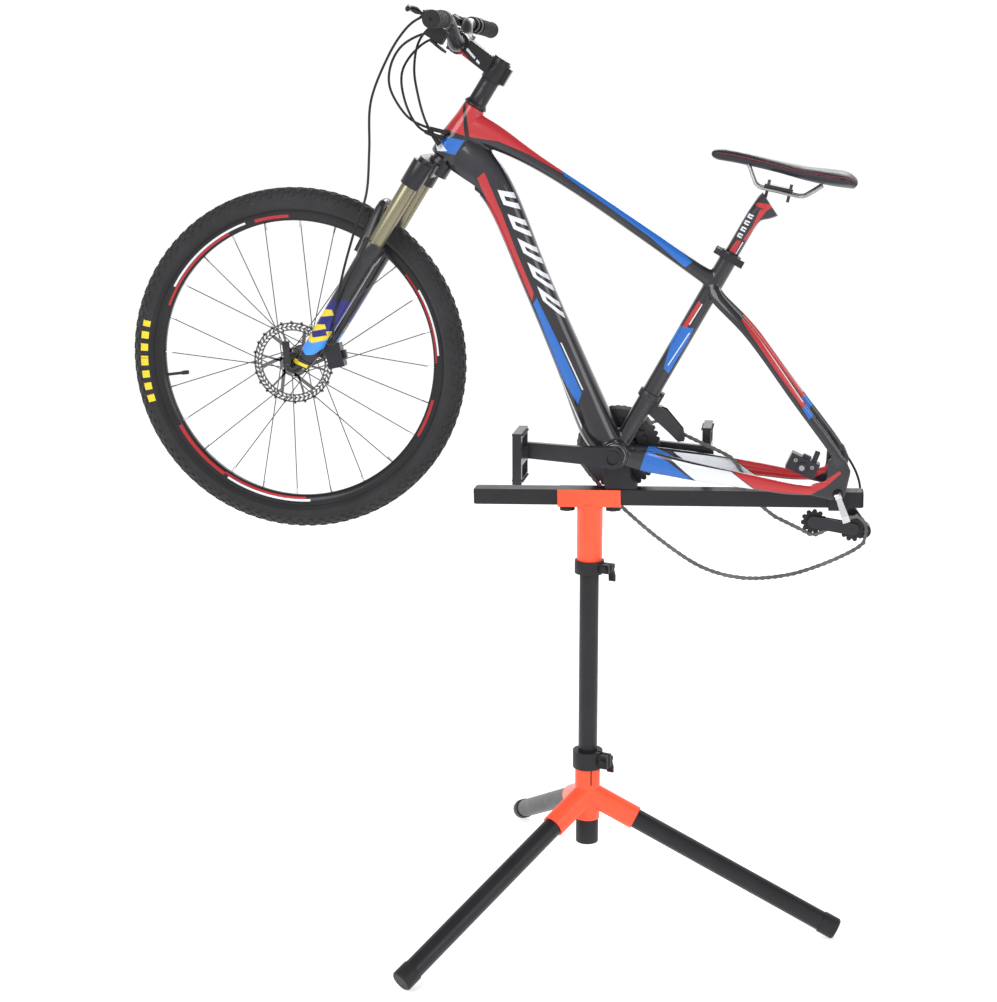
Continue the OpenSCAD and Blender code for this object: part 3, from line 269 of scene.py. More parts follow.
# Painted panels of the frame, from the bottom bracket: x back and z up
HEAD_TOP = [(-434, 640), (-356, 569), (-307, 552), (-275, 539), (-238, 526)]
HEAD_LOW = [(-500, 545), (-409, 534), (-350, 538), (-288, 527), (-215, 504)]
FRAME_PANELS = [
    (RED, *band(HEAD_TOP, HEAD_LOW)),
    (BLACK, [(-434, 600), (-428, 600), (-404, 530), (-413, 530)],
     [(-330, 560), (-240, 527), (-238, 524), (-330, 555)]),
    (BLUE, [(-343, 572), (-247, 540), (-245, 531), (-300, 551)],
     *band([(-235, 523), (-114, 482), (-32, 448), (62, 395)],
           [(-213, 502), (-109, 459), (-26, 423), (50, 382)]),
     [(-458, 516), (-445, 526), (-413, 526), (-425, 496), (-454, 497)],
     *band([(-214, 264), (-148, 181), (-89, 104)], [(-219, 250), (-135, 124), (-92, 80)]),
     [(57, 270), (93, 272), (88, 246), (66, 176), (54, 184)],
     [(58, 24), (54, -22), (95, -18), (167, -12), (106, 12)],
     [(327, 178), (334, 189), (352, 172), (345, 160)]),
    (RED, *band([(-363, 476), (-315, 409), (-270, 340), (-222, 272)],
                [(-374, 462), (-338, 408), (-270, 318), (-222, 254)]),
     [(90, 326), (70, 271), (80, 271), (96, 322)],
     *band([(177, 312), (259, 238), (328, 178)], [(184, 318), (266, 244), (332, 184)]),
     *band([(194, 318), (278, 240), (331, 192)], [(189, 317), (273, 238), (329, 187)]),
     *band([(229, 27), (295, 34), (362, 33), (404, 56), (424, 78)],
           [(278, 6), (320, 11), (381, 20), (406, 42), (428, 74)])),
    (WHITE, *band([(-242, 533), (-156, 500), (-74, 467), (5, 433)],
                  [(-236, 526), (-154, 493), (-72, 459), (11, 424)]),
     [(-468, 508), (-455, 512), (-441, 500), (-460, 496)],
     [(-136, 122), (-132, 114), (-74, 32), (-76, 41)],
     [(-151, 190), (-148, 190), (-87, 110), (-90, 110)],
     [(97, 322), (99, 321), (84, 277), (82, 278)],
     [(86, 262), (88, 262), (62, 192), (60, 192)],
     [(108, 19), (226, 27), (276, 5), (168, -10)],
     [(186, 315), (187, 316), (326, 190), (325, 189)],
     *marks([(-331, 449), (-190, 246)], [(-301, 450), (-140, 218)], 5)),
]
POST_PANELS = [
    (RED, [(153, 524), (155, 530), (189, 533), (176, 519)],
     *band([(176, 520), (164, 493), (151, 455)], [(163, 519), (156, 483), (145, 456)]),
     [(134, 453), (142, 454), (136, 428), (124, 432)]),
    (WHITE, [(145, 452), (147, 452), (139, 427), (137, 427)],
     *marks([(132, 460), (146, 512)], [(141, 458), (156, 510)], 4)),
]
# Fork marks on the outer sides of the legs: x is negative forward and z runs up the leg
FORK_SIDE = 0.056
STEM_SIDE = 0.0165
FORK_PANELS = [
    (NAVY, [(-44, 152), (4, 179), (6, 84), (-44, 78)]),
    (SKY, [(-46, 76), (-3, 101), (0, 66), (-10, 46), (-22, 38), (-40, 44)]),
    (YELLOW, [(-42, 131), (-23, 143), (-14, 136), (-43, 112)],
     [(-46, 76), (-2, 106), (-2, 86), (-24, 65), (-40, 64)],
     [(-42, 96), (-20, 111), (-14, 105), (-40, 80)], [(-40, 16), (-8, 22), (-8, 12), (-40, 6)]),
    (NAVY, [(-38, 82), (-12, 100), (-6, 94), (-28, 75)]),
]


def on_wheel(g):
    """Angle about the wheel axle in degrees, distance from it in millimetres, and Y."""
    shifted = g.node(
        "ShaderNodeVectorMath",
        {0: g.place, 1: tuple(-c for c in WHEEL.translation)},
        operation="ADD",
    ).outputs[0]
    parts = g.node("ShaderNodeSeparateXYZ", {0: shifted})
    x, y, z = parts.outputs
    angle = g.calc("MULTIPLY", g.calc("ARCTAN2", z, x), 180 / math.pi)
    flat = g.calc("SQRT", g.calc("ADD", g.calc("MULTIPLY", x, x), g.calc("MULTIPLY", z, z)))
    return angle, g.calc("MULTIPLY", flat, 1 / MM), y


def between(g, value, low, high):
    """1 where a value lies between two others, and 0 elsewhere."""
    return g.calc(
        "MULTIPLY", g.calc("GREATER_THAN", value, low), g.calc("LESS_THAN", value, high)
    )


def rim_paint(g, colour):
    """Arcs of red and white on the rim, each by its two radii and two angles."""
    angle, radius, _ = on_wheel(g)
    for shade, low, high, start, end in (
        (RED, 280, 284, 118, 158), (WHITE, 285, 289, 110, 150), (RED, 282, 288, 92, 106),
        (RED, 281, 287, -151, -124), (WHITE, 284, 288, -122, -86), (RED, 279, 283, -124, -88),
        (RED, 280, 284, 0, 38), (WHITE, 285, 289, 3, 30), (RED, 281, 287, -31, -15),
    ):
        mask = g.calc("MULTIPLY", between(g, radius, low, high), between(g, angle, start, end))
        colour = g.mix(mask, colour, shade)
    return colour


def tyre_paint(g, colour):
    """A row of yellow blocks on the near wall of the tyre, at the front of the wheel."""
    angle, radius, y = on_wheel(g)
    teeth = g.calc("FRACT", g.calc("MULTIPLY", angle, 0.22))
    mask = g.calc("MULTIPLY", between(g, radius, 306, 321), g.calc("LESS_THAN", y, 0.0))
    turn = g.calc("ABSOLUTE", angle)
    span = g.calc(
        "MULTIPLY", g.calc("GREATER_THAN", turn, 166.0), g.calc("LESS_THAN", angle, 179.9)
    )
    low = g.calc("LESS_THAN", angle, -163.0)
    either = g.calc("MAXIMUM", span, low)
    mask = g.calc(
        "MULTIPLY", g.calc("MULTIPLY", mask, either), g.calc("GREATER_THAN", teeth, 0.42)
    )
    return g.mix(mask, colour, YELLOW)


PRINT = {
    "frame_paint": finish("frame_gloss", CARBON, 0.25, (0.16, 0.24), coat=1.0, grain=900,
                          bump=0.02, paint=painter(FRAME_PANELS, BIKE)),
    "stand_orange": finish("orange_powder", (1.0, 0.095, 0.035), 0.05, (0.38, 0.5), coat=0.25,
                           grain=1100, bump=0.12),
    "stand_black": finish("black_powder", (0.012, 0.012, 0.015), 0.2, (0.34, 0.48), coat=0.1,
                          grain=1200, bump=0.15),
    "black_plastic": finish("moulded_black", (0.012, 0.012, 0.014), 0.2, (0.42, 0.58), grain=800,
                            bump=0.25, cells=True),
    "black_alloy": finish("black_anodised", (0.022, 0.021, 0.026), 0.2, (0.24, 0.38), metal=0.35,
                          coat=0.35, grain=1400, bump=0.06),
    "gold_alloy": finish("gold_anodised", (0.24, 0.22, 0.15), 0.04, (0.24, 0.3), metal=0.75,
                         grain=1500, bump=0.01),
    "silver_alloy": finish("polished_alloy", (0.62, 0.62, 0.64), 0.06, (0.18, 0.3), metal=1.0,
                           grain=900, bump=0.04),
    "steel": finish("ground_steel", (0.34, 0.34, 0.35), 0.12, (0.26, 0.4), metal=1.0, grain=700,
                    bump=0.05, stretch=(1, 0.1, 1)),
    "grip_rubber": finish("grip_rubber", (0.014, 0.014, 0.016), 0.15, (0.6, 0.75), grain=500,
                          bump=0.3, cells=True),
    "tyre_rubber": finish("tyre_rubber", (0.020, 0.019, 0.021), 0.2, (0.62, 0.8), grain=350,
                          bump=0.3, cells=True, sheen=0.1, paint=tyre_paint),
    "saddle_cover": finish("saddle_cover", (0.020, 0.020, 0.028), 0.15, (0.36, 0.5), grain=420,
                           bump=0.35, cells=True, coat=0.1),
    "cable_cover": finish("cable_cover", (0.010, 0.010, 0.011), 0.1, (0.3, 0.4), grain=900,
                          bump=0.05),
}
PRINT["frame_red"] = PRINT["frame_paint"]
RIM = finish("rim_black", (0.014, 0.014, 0.016), 0.15, (0.28, 0.4), metal=0.3, coat=0.3,
             grain=900, bump=0.04, paint=rim_paint)
POST = finish("post_gloss", CARBON, 0.2, (0.18, 0.28), coat=0.8, grain=900, bump=0.03,
              paint=painter(POST_PANELS, BIKE))
FORK = finish("fork_gloss", (0.016, 0.016, 0.020), 0.15, (0.2, 0.3), coat=0.7, grain=900,
              bump=0.03, paint=painter(FORK_PANELS, STEER, FORK_SIDE))
STEM = finish("stem_black", (0.012, 0.012, 0.014), 0.2, (0.26, 0.38), metal=0.2, coat=0.3,
              grain=1200, bump=0.08, paint=painter([
                  (RED, [(-76, 678), (-30, 664), (-30, 672), (-76, 688)]),
                  (WHITE, [(-66, 692), (-44, 686), (-44, 690), (-66, 697)],
                   [(-40, 684), (-32, 682), (-32, 686), (-40, 689)])], STEER, STEM_SIDE))
SPOKE = finish("spoke_dark", (0.09, 0.09, 0.095), 0.1, (0.25, 0.35), metal=0.9, grain=900,
               bump=0.03)
ROTOR = finish("rotor_steel", (0.13, 0.13, 0.135), 0.12, (0.3, 0.45), metal=0.9, grain=700,
               bump=0.05, stretch=(1, 0.1, 1))
RINGS = finish("ring_dark", (0.055, 0.055, 0.06), 0.25, (0.3, 0.45), metal=0.8, grain=800,
               bump=0.08, stretch=(1, 0.2, 1))
CHAIN = finish("chain_steel", (0.13, 0.125, 0.12), 0.3, (0.3, 0.5), metal=0.9, grain=800,
               bump=0.1)
THREAD = finish("red_thread", (0.20, 0.012, 0.02), 0.2, (0.5, 0.6), grain=900, bump=0.2)

# ---------------------------------------------------------------- mesh tools


def spline(rows, steps):
    """Smooth curve through rows of numbers, with steps between each two of them."""
    rows = np.array(rows, float)
    last = len(rows) - 1
    out = []
    for i in range(last):
        a, b, c, d = rows[max(i - 1, 0)], rows[i], rows[i + 1], rows[min(i + 2, last)]
        for k in range(steps):
            t = k / steps
            out.append(
                0.5 * (2 * b + (c - a) * t + (2 * a - 5 * b + 4 * c - d) * t * t
                       + (3 * b - a - 3 * c + d) * t**3)
            )
    out.append(rows[last])
    return np.array(out)


def unit(v):
    return v / np.linalg.norm(v)


class Shape:
    """Faces gathered for one piece, in millimetres of one frame."""

    def __init__(self):
        self.points, self.faces, self.slots = [], [], []

    def add(self, points, faces, slot=0, at=None):
        base = len(self.points)
        for p in points:
            v = Vector(p)
            self.points.append(at @ v if at is not None else v)
        for f in faces:
            self.faces.append([base + i for i in f])
            self.slots.append(slot)

    def rings(self, rings, slot=0, at=None, closed=False, caps=True):
        """Skin over rings with the same number of points."""
        n, m = len(rings[0]), len(rings)
        faces = [
            [i * n + j, i * n + (j + 1) % n, (i + 1) % m * n + (j + 1) % n, (i + 1) % m * n + j]
            for i in range(m if closed else m - 1)
            for j in range(n)
        ]
        if caps and not closed:
            faces += [list(range(n))[::-1], [(m - 1) * n + j for j in range(n)]]
        self.add([p for ring in rings for p in ring], faces, slot, at)

    def sweep(self, path, a, b, side=(0, 1, 0), n=24, q=1.0, slot=0, closed=False, at=None):
        """Section of half sizes a and b carried along a path without twist."""
        path = np.array(path, float)
        m = len(path)
        side = np.array(side, float)
        rings = []
        for i in range(m):
            before = path[i - 1] if (i or closed) else path[0]
            after = path[(i + 1) % m] if (i < m - 1 or closed) else path[m - 1]
            t = unit(after - before)
            side = unit(side - side.dot(t) * t)
            across = np.cross(side, t)
            half_a = a[i] if np.ndim(a) else a
            half_b = b[i] if np.ndim(b) else b
            ring = []
            for j in range(n):
                c, s = math.cos(2 * math.pi * j / n), math.sin(2 * math.pi * j / n)
                ring.append(
                    path[i]
                    + half_a * math.copysign(abs(c) ** q, c) * across
                    + half_b * math.copysign(abs(s) ** q, s) * side
                )
            rings.append(ring)
        self.rings(rings, slot, at, closed)

    def loft(self, rows, steps=8, n=40, q=0.85, **more):
        """Sweep along a smooth curve through rows of x, y, z and two half sizes."""
        rows = spline(rows, steps)
        self.sweep(rows[:, :3], rows[:, 3], rows[:, 4], n=n, q=q, **more)

    def lathe(self, profile, n=64, slot=0, at=None, closed=True):
        """Profile of (radius, y) turned about the Y axis."""
        rings = [
            [
                (r * math.cos(2 * math.pi * j / n), y, r * math.sin(2 * math.pi * j / n))
                for j in range(n)
            ]
            for r, y in profile
        ]
        self.rings(rings, slot, at, closed)

    def rod(self, radius, y0, y1, n=24, slot=0, at=None, edge=0.6):
        """Round bar along Y with broken edges."""
        self.lathe(
            [(radius - edge, y0), (radius, y0 + edge), (radius, y1 - edge), (radius - edge, y1)],
            n, slot, at, closed=False,
        )

    def prism(self, outline, y0, y1, slot=0, at=None):
        """Outline of (x, z) points carried from y0 to y1."""
        self.rings([[(x, y, z) for x, z in outline] for y in (y0, y1)], slot, at)

    def block(self, low, high, slot=0, at=None):
        (x0, y0, z0), (x1, y1, z1) = low, high
        self.prism([(x0, z0), (x1, z0), (x1, z1), (x0, z1)], y0, y1, slot, at)

    def piece(self, name, place, body, finishes, replaces=(), bevel=0.0, crease=35):
        """Make the object, put it on its body and hide the nodes it replaces."""
        mesh = bpy.data.meshes.new(name)
        mesh.from_pydata([place @ p for p in self.points], [], self.faces)
        obj = bpy.data.objects.new(name, mesh)
        bpy.context.scene.collection.objects.link(obj)
        for f in finishes:
            mesh.materials.append(f)
        mesh.polygons.foreach_set("material_index", self.slots)
        mesh.update()
        outward(mesh)
        soften(mesh, crease)
        if bevel:
            round_edges(obj, bevel)
        if body:
            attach(obj, body)
        if replaces:
            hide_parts(*replaces)
        return obj


def outward(mesh):
    """Turn every face of a mesh outwards."""
    work = bmesh.new()
    work.from_mesh(mesh)
    bmesh.ops.recalc_face_normals(work, faces=work.faces)
    work.to_mesh(mesh)
    work.free()


def soften(mesh, crease):
    mesh.shade_smooth()
    mesh.set_sharp_from_angle(angle=math.radians(crease))


def round_edges(obj, width, segments=2):
    made = obj.modifiers.new("edges", "BEVEL")
    made.width = width * MM
    made.segments = segments
    made.limit_method = "ANGLE"
    made.angle_limit = math.radians(40)


def applied(obj):
    """Give the object its mesh with its modifiers applied."""
    graph = bpy.context.evaluated_depsgraph_get()
    mesh = bpy.data.meshes.new_from_object(obj.evaluated_get(graph))
    obj.modifiers.clear()
    obj.data = mesh


# ---------------------------------------------------------------- carried-over CAD nodes

slots = {s["node"]: s["material_slot"] for s in frame["record"]["subparts"]}
for name, obj in frame["nodes"].items():
    obj.data.materials.clear()
    obj.data.materials.append(PRINT[slots[name]])
for name, look in (
    ("fork_lowers", FORK), ("seatpost", POST), ("front_spokes", SPOKE), ("chainrings", RINGS),
    ("stem", STEM), ("front_derailleur", RINGS), ("derailleur_cage_front", RINGS),
    ("front_lever", PRINT["black_alloy"]), ("front_skewer", PRINT["black_alloy"]),
):
    frame["nodes"][name].data.materials[0] = look
PLAIN = ("front_spokes", "front_rotor", "tripod_legs")
for name, obj in frame["nodes"].items():
    if name not in PLAIN:
        weld = obj.modifiers.new("join", "WELD")
        weld.merge_threshold = 0.00002
        round_edges(obj, 0.7)

# ---------------------------------------------------------------- frame of the bicycle

FRAME_VOXEL, QUICK_VOXEL = 1.9, 3.0
HEAD = 69.8
HEAD_DIR = np.array([math.cos(math.radians(HEAD)), 0, math.sin(math.radians(HEAD))])
STEER_FOOT = np.array([-620.8, 0, 18.5])
SEAT_DIR = np.array([math.cos(math.radians(SEAT_ANGLE)), 0, math.sin(math.radians(SEAT_ANGLE))])


def head_at(s):
    """Point on the steering axis, s above its foot."""
    return STEER_FOOT + s * HEAD_DIR


def seat_at(s):
    """Point on the seat tube's axis, s above the bottom bracket."""
    return s * SEAT_DIR


def row(p, a, b, x=0.0, z=0.0):
    """Row for a loft: a point moved by x and z, and two half sizes."""
    return [p[0] + x, p[1], p[2] + z, a, b]


def clear_crown(mesh):
    """Keep the skin above the fork crown wherever the crown turns under it."""
    inner, outer, lowest = 20, 98, 440
    inverse = STEER.inverted()
    for v in mesh.vertices:
        q = inverse @ v.co
        reach = math.hypot(q.x, q.y)
        floor = 491.6 if reach < 26 else 485.6 if reach < 84 else 477.6
        if inner < reach < outer and lowest < q.z < floor:
            q.z = floor
            v.co = STEER @ q


def frame_shell():
    """The moulded frame as one skin, with fillets where its tubes meet."""
    shell = Shape()
    top = head_at(571)
    rear = seat_at(385)
    shell.loft([
        row(top, 34, 20), row(top, 25, 23, 62, -10), row(top, 15.5, 22, 150, -38),
        row(top, 13, 20, 255, -76), row(top, 13.5, 18, 385, -128),
        row(rear, 15, 17, -38, 12), row(rear, 20, 16),
    ])
    top = head_at(520)
    shell.loft([
        row(top, 40, 20), row(top, 42, 26, 50, -20), row(top, 32, 28, 116, -72),
        row(top, 28.5, 29, 216, -214), row(top, 31, 32, 316, -354),
        [-50, 0, 44, 36, 36], [-8, 0, 0, 30, 38],
    ])
    shell.rod(27, -43, 43, 64, edge=1.5)
    upright = Matrix.Rotation(math.radians(90 - SEAT_ANGLE), 4, "Y")
    lay = upright @ Matrix.Rotation(math.radians(90), 4, "X")
    shell.rod(17.5, 2, 446, 48, at=lay)
    turn = Matrix.Translation(Vector(STEER_FOOT)) @ Matrix.Rotation(
        math.radians(90 - HEAD), 4, "Y") @ Matrix.Rotation(math.radians(90), 4, "X")
    shell.lathe(
        [(20, 496.6), (27.5, 496.6), (29.5, 500), (29.5, 540), (23.5, 581), (21.5, 611),
         (12, 611), (12, 496.6)], 64, at=turn)
    for s in (1, -1):
        mirror = Matrix.Scale(s, 4, (0, 1, 0))
        shell.loft([
            [16, 28, -2, 17, 9], [62, 27, 0, 21, 7], [110, 38, 4, 20, 8], [170, 54, 9, 18, 9],
            [274, 66, 17, 14, 9], [345, 70.5, 22, 11, 7], [REAR_X - 40, 70.5, BB_DROP - 3, 8, 4],
        ], n=32, at=mirror)
        lower = seat_at(362)
        shell.loft([
            row(seat_at(372) + [0, 12, 0], 13, 7), row(lower + [24, 24, -12], 12, 8),
            [205, 46, 284, 10, 8], [320, 62, 184, 9.5, 7.5],
            [REAR_X - 24, 70.5, BB_DROP + 76, 9.5, 5], [REAR_X - 12, 70.5, BB_DROP + 58, 10, 3.4],
        ], n=32, at=mirror)
        outline = [(-52, -14), (-52, 8), (-28, 20), (-34, 62), (-4, 72), (13, 49), (14, 8),
                   (10, -12), (5.5, -13), (5.5, 0), (3.5, 4.5), (0, 5.5), (-3.5, 4.5), (-5.5, 0),
                   (-5.5, -13), (-8, -14)]
        shell.prism([(REAR_X + x, BB_DROP + z) for x, z in outline], 67.7, 73.3, at=mirror)
    obj = shell.piece("frame_shell", BIKE, None, [PRINT["frame_paint"]])
    remesh = obj.modifiers.new("skin", "REMESH")
    remesh.mode = "VOXEL"
    remesh.voxel_size = FRAME_VOXEL * MM
    smooth = obj.modifiers.new("fillets", "SMOOTH")
    smooth.factor = 0.5
    smooth.iterations = 10
    applied(obj)
    clear_crown(obj.data)
    obj.data.shade_smooth()
    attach(obj, "bike")
    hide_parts("top_tube", "down_tube", "seat_tube", "rear_stays", "head_tube")


frame_shell()

# ---------------------------------------------------------------- wheel

TYRE_R, TYRE_HALF, RIM_R = 341, 27, 296
SPOKES = 24
ROTOR_Y = -40.5


def tyre():
    """Tyre with a hollow carcass and staggered tread blocks."""
    shape = Shape()
    mid = TYRE_R - TYRE_HALF
    skin = TYRE_HALF - 2.6
    profile = [(RIM_R - 5, -10.8), (RIM_R, -10.8)]
    for k in range(33):
        a = math.radians(-112 + 7 * k)
        profile.append((mid + skin * math.cos(a), skin * math.sin(a)))
    profile += [(RIM_R, 10.8), (RIM_R - 5, 10.8), (RIM_R - 5, 8), (mid - 4, skin - 5),
                (mid - 4, 5 - skin), (RIM_R - 5, -8)]
    shape.lathe(profile, 180)
    blocks = 92
    rows = ((-14, 9, 0.62, 0.0), (14, 9, 0.62, 0.5), (-38, 9, 0.5, 0.5), (38, 9, 0.5, 0.0),
            (-60, 7, 0.42, 0.0), (60, 7, 0.42, 0.5), (-80, 4, 0.7, 0.25), (80, 4, 0.7, 0.25))
    for k in range(blocks):
        for tilt, half, fill, shift in rows:
            height = 2.5 if abs(tilt) < 70 else 1.0
            points = []
            for out, shrink in ((skin - 0.6, 1.0), (skin + height, 0.82)):
                for u, v in ((-1, -1), (1, -1), (1, 1), (-1, 1)):
                    across = math.radians(tilt + u * half * shrink)
                    turn = 2 * math.pi * (k + shift + v * fill * shrink / 2) / blocks
                    r = mid + out * math.cos(across)
                    points.append((r * math.cos(turn), out * math.sin(across), r * math.sin(turn)))
            shape.add(points, [[0, 1, 2, 3], [7, 6, 5, 4], [0, 4, 5, 1], [1, 5, 6, 2],
                               [2, 6, 7, 3], [3, 7, 4, 0]])
    shape.piece("tyre_tread", WHEEL, "wheel", [PRINT["tyre_rubber"]], ["front_tyre"],
                crease=30)


def rim():
    """Rim with the nipples of its spokes and the valve."""
    shape = Shape()
    shape.lathe(
        [(276, -4.5), (276.6, -5.6), (283, -10.6), (287, -12.4), (292, -13), (RIM_R, -13),
         (RIM_R, -11.2), (289, -10), (287, -4), (287, 4), (289, 10), (RIM_R, 11.2), (RIM_R, 13),
         (292, 13), (287, 12.4), (283, 10.6), (276.6, 5.6), (276, 4.5)], 180)
    for k in range(SPOKES):
        turn = Matrix.Rotation(SPOKE_TURN - 2 * math.pi * k / SPOKES, 4, "Y") @ Matrix.Rotation(
            math.radians(-90), 4, "Z")
        shape.rod(2.1, 263, 277, 8, 1, at=turn)
    valve = Matrix.Rotation(math.radians(-187.5), 4, "Y") @ Matrix.Rotation(
        math.radians(-90), 4, "Z")
    shape.rod(3.0, 240, 277, 16, 2, at=valve)
    shape.rod(4.2, 232, 246, 16, 2, at=valve)
    shape.piece("rim_profile", WHEEL, "wheel",
                [RIM, PRINT["silver_alloy"], PRINT["black_plastic"]], ["front_rim"])


def rotor():
    """Brake rotor: three thin bands with slanted struts between them on slanted arms."""
    shape = Shape()
    y0, y1 = ROTOR_Y - 1, ROTOR_Y + 1

    def bar(a, r0, b, r1, half):
        p = np.array([r0 * math.cos(a), r0 * math.sin(a)])
        q = np.array([r1 * math.cos(b), r1 * math.sin(b)])
        side = unit(np.array([p[1] - q[1], q[0] - p[0]])) * half
        shape.prism([tuple(p - side), tuple(q - side), tuple(q + side), tuple(p + side)], y0, y1)

    for r0, r1 in ((63.5, 66), (70.4, 72.2), (76.8, 79.6)):
        shape.lathe([(r0, y0), (r1, y0), (r1, y1), (r0, y1)], 96)
    for k in range(48):
        a = 2 * math.pi * k / 48
        bar(a, 65.5, a + 0.07, 71, 1.5)
        bar(a + 0.05, 72, a - 0.03, 77.4, 1.6)
        if k % 2 == 0:
            bar(a, 78.8, a + 0.05, 80.6, 3.0)
    for k in range(6):
        a = 2 * math.pi * k / 6 + SPOKE_TURN
        bar(a, 22, a + 0.62, 64.5, 3.4)
        bar(a + 0.35, 25, a + 0.28, 64.5, 2.0)
    shape.lathe([(20.4, y0), (27.5, y0), (27.5, y1), (20.4, y1)], 64)
    for k in range(6):
        a = 2 * math.pi * (k + 0.5) / 6
        at = Matrix.Translation((23.6 * math.cos(a), 0, 23.6 * math.sin(a)))
        shape.rod(2.6, ROTOR_Y - 2.7, ROTOR_Y - 0.9, 12, 1, at=at)
    shape.piece("slotted_rotor", WHEEL, "wheel", [ROTOR, PRINT["steel"]], ["front_rotor"])


tyre()
rim()
rotor()

# ---------------------------------------------------------------- chain

PITCH = 12.7
RING_TEETH, PULLEY_TEETH = 40, 11
RING_R = PITCH / (2 * math.sin(math.pi / RING_TEETH))
PULLEY_R = PITCH / (2 * math.sin(math.pi / PULLEY_TEETH))
GUIDE = (REAR_X + 53, -52)
TENSION = (REAR_X - 24, -56)


def arc(centre, radius, start, end, step):
    """Points of an arc in the XZ plane, from start to end in degrees."""
    count = math.ceil(abs(end - start) / step)
    out = []
    for k in range(count + 1):
        a = math.radians(start + (end - start) * k / count)
        out.append((centre[0] + radius * math.cos(a), centre[1] + radius * math.sin(a)))
    return out


def chain():
    """Links with their plates, pins and rollers along the chain's route."""
    route = [
        *arc((0, 0), RING_R, 50, 218, 8),
        *spline([(-64, -50), (-30, -78), (40, -122), (124, -166), (215, -200), (300, -202),
                 (380, -176), (440, -140), (490, -100), (512, -76)], 4),
        *arc(GUIDE, PULLEY_R + 4, 0, 100, 12),
        *arc(TENSION, PULLEY_R + 4, -60, -120, 12),
        *spline([(330, -64), (285, -40), (262, -14), (245, 10), (226, 28), (205, 36), (150, 48),
                 (90, 62), (66, 72)], 4),
    ]
    route = np.array(route + [route[0]], float)
    runs = np.concatenate([[0], np.cumsum(np.linalg.norm(np.diff(route, axis=0), axis=1))])
    count = 2 * round(runs[-1] / PITCH / 2)
    places = np.linspace(0, runs[-1], count + 1)
    x = np.interp(places, runs, route[:, 0])
    z = np.interp(places, runs, route[:, 1])
    shape = Shape()
    waist = []
    for k in range(10):
        a = math.radians(-108 + 24 * k)
        waist.append((PITCH / 2 + 3.7 * math.cos(a), 3.7 * math.sin(a)))
    outline = waist + [(0, 2.5)] + [(-p, -q) for p, q in waist] + [(0, -2.5)]
    for k in range(count):
        dx, dz = x[k + 1] - x[k], z[k + 1] - z[k]
        at = Matrix.Translation(((x[k] + x[k + 1]) / 2, CHAIN_Y, (z[k] + z[k + 1]) / 2)) @ \
            Matrix.Rotation(-math.atan2(dz, dx), 4, "Y")
        inner = 1.6 if k % 2 else 2.6
        for s in (-1, 1):
            shape.prism(outline, s * inner, s * (inner + 0.9), at=at)
        pin = at @ Matrix.Translation((-PITCH / 2, 0, 0))
        shape.rod(1.8, -3.4, 3.4, 8, at=pin, edge=0.3)
        shape.rod(3.6, -1.5, 1.5, 10, at=pin, edge=0.3)
    shape.piece("chain_links", BIKE, "bike", [CHAIN], ["chain"])


chain()

# ---------------------------------------------------------------- cords

ROUTES = {
    "front_brake_hose": ("steering", STEER, [
        (-135, -110, 718), (-156, -97, 704), (-172, -88, 670), (-176, -82, 610), (-163, -74, 520),
        (-120, -68, 440), (-80, -84, 370), (-62, -94, 300), (-40, -95, 220), (-16, -92, 150),
        (2, -82, 104), (10, -68, 84)]),
    "left_housing": ("steering", STEER, [
        (-105, -113, 697), (-135, -104, 682), (-163, -84, 640), (-166, -66, 595),
        (-148, -46, 556), (-100, -36, 530), (-60, -32, 530), (-14, -31, 544)]),
    "right_housing": ("steering", STEER, [
        (-105, 113, 697), (-130, 104, 690), (-158, 60, 650), (-155, 0, 595), (-118, -28, 552),
        (-66, -38, 524), (-15, -32, 531)]),
    "rear_brake_hose": ("steering", STEER, [
        (-135, 110, 718), (-160, 92, 700), (-165, 50, 655), (-140, 8, 610), (-105, -18, 575),
        (-62, -32, 540), (-16, -33, 516)]),
    "rear_housing_loop": ("bike", BIKE, [
        (412, 78.3, 104), (428, 78, 92), (448, 80, 74), (468, 82, 50), (482, 86, 22),
        (489, 88, -17)]),
}


def cords():
    """Hoses and housings in place of the cables; only the loop by the rear axle is put on a body."""
    for name, (body, place, points) in ROUTES.items():
        shape = Shape()
        shape.sweep(spline(points, 8), 2.4, 2.4, side=(0.3, 0.5, 0.8), n=14)
        obj = shape.piece(name, place, None, [PRINT["cable_cover"]])
        if name == "front_brake_hose":
            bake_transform(obj)
        elif body == "steering":
            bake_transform(obj)
        else:
            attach(obj, body)
        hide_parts("cables")


cords()

# ---------------------------------------------------------------- saddle

SADDLE_H, SADDLE_L, SADDLE_W, SADDLE_X = 613, 278, 138, 50
CLOTH_FRAMES = 20


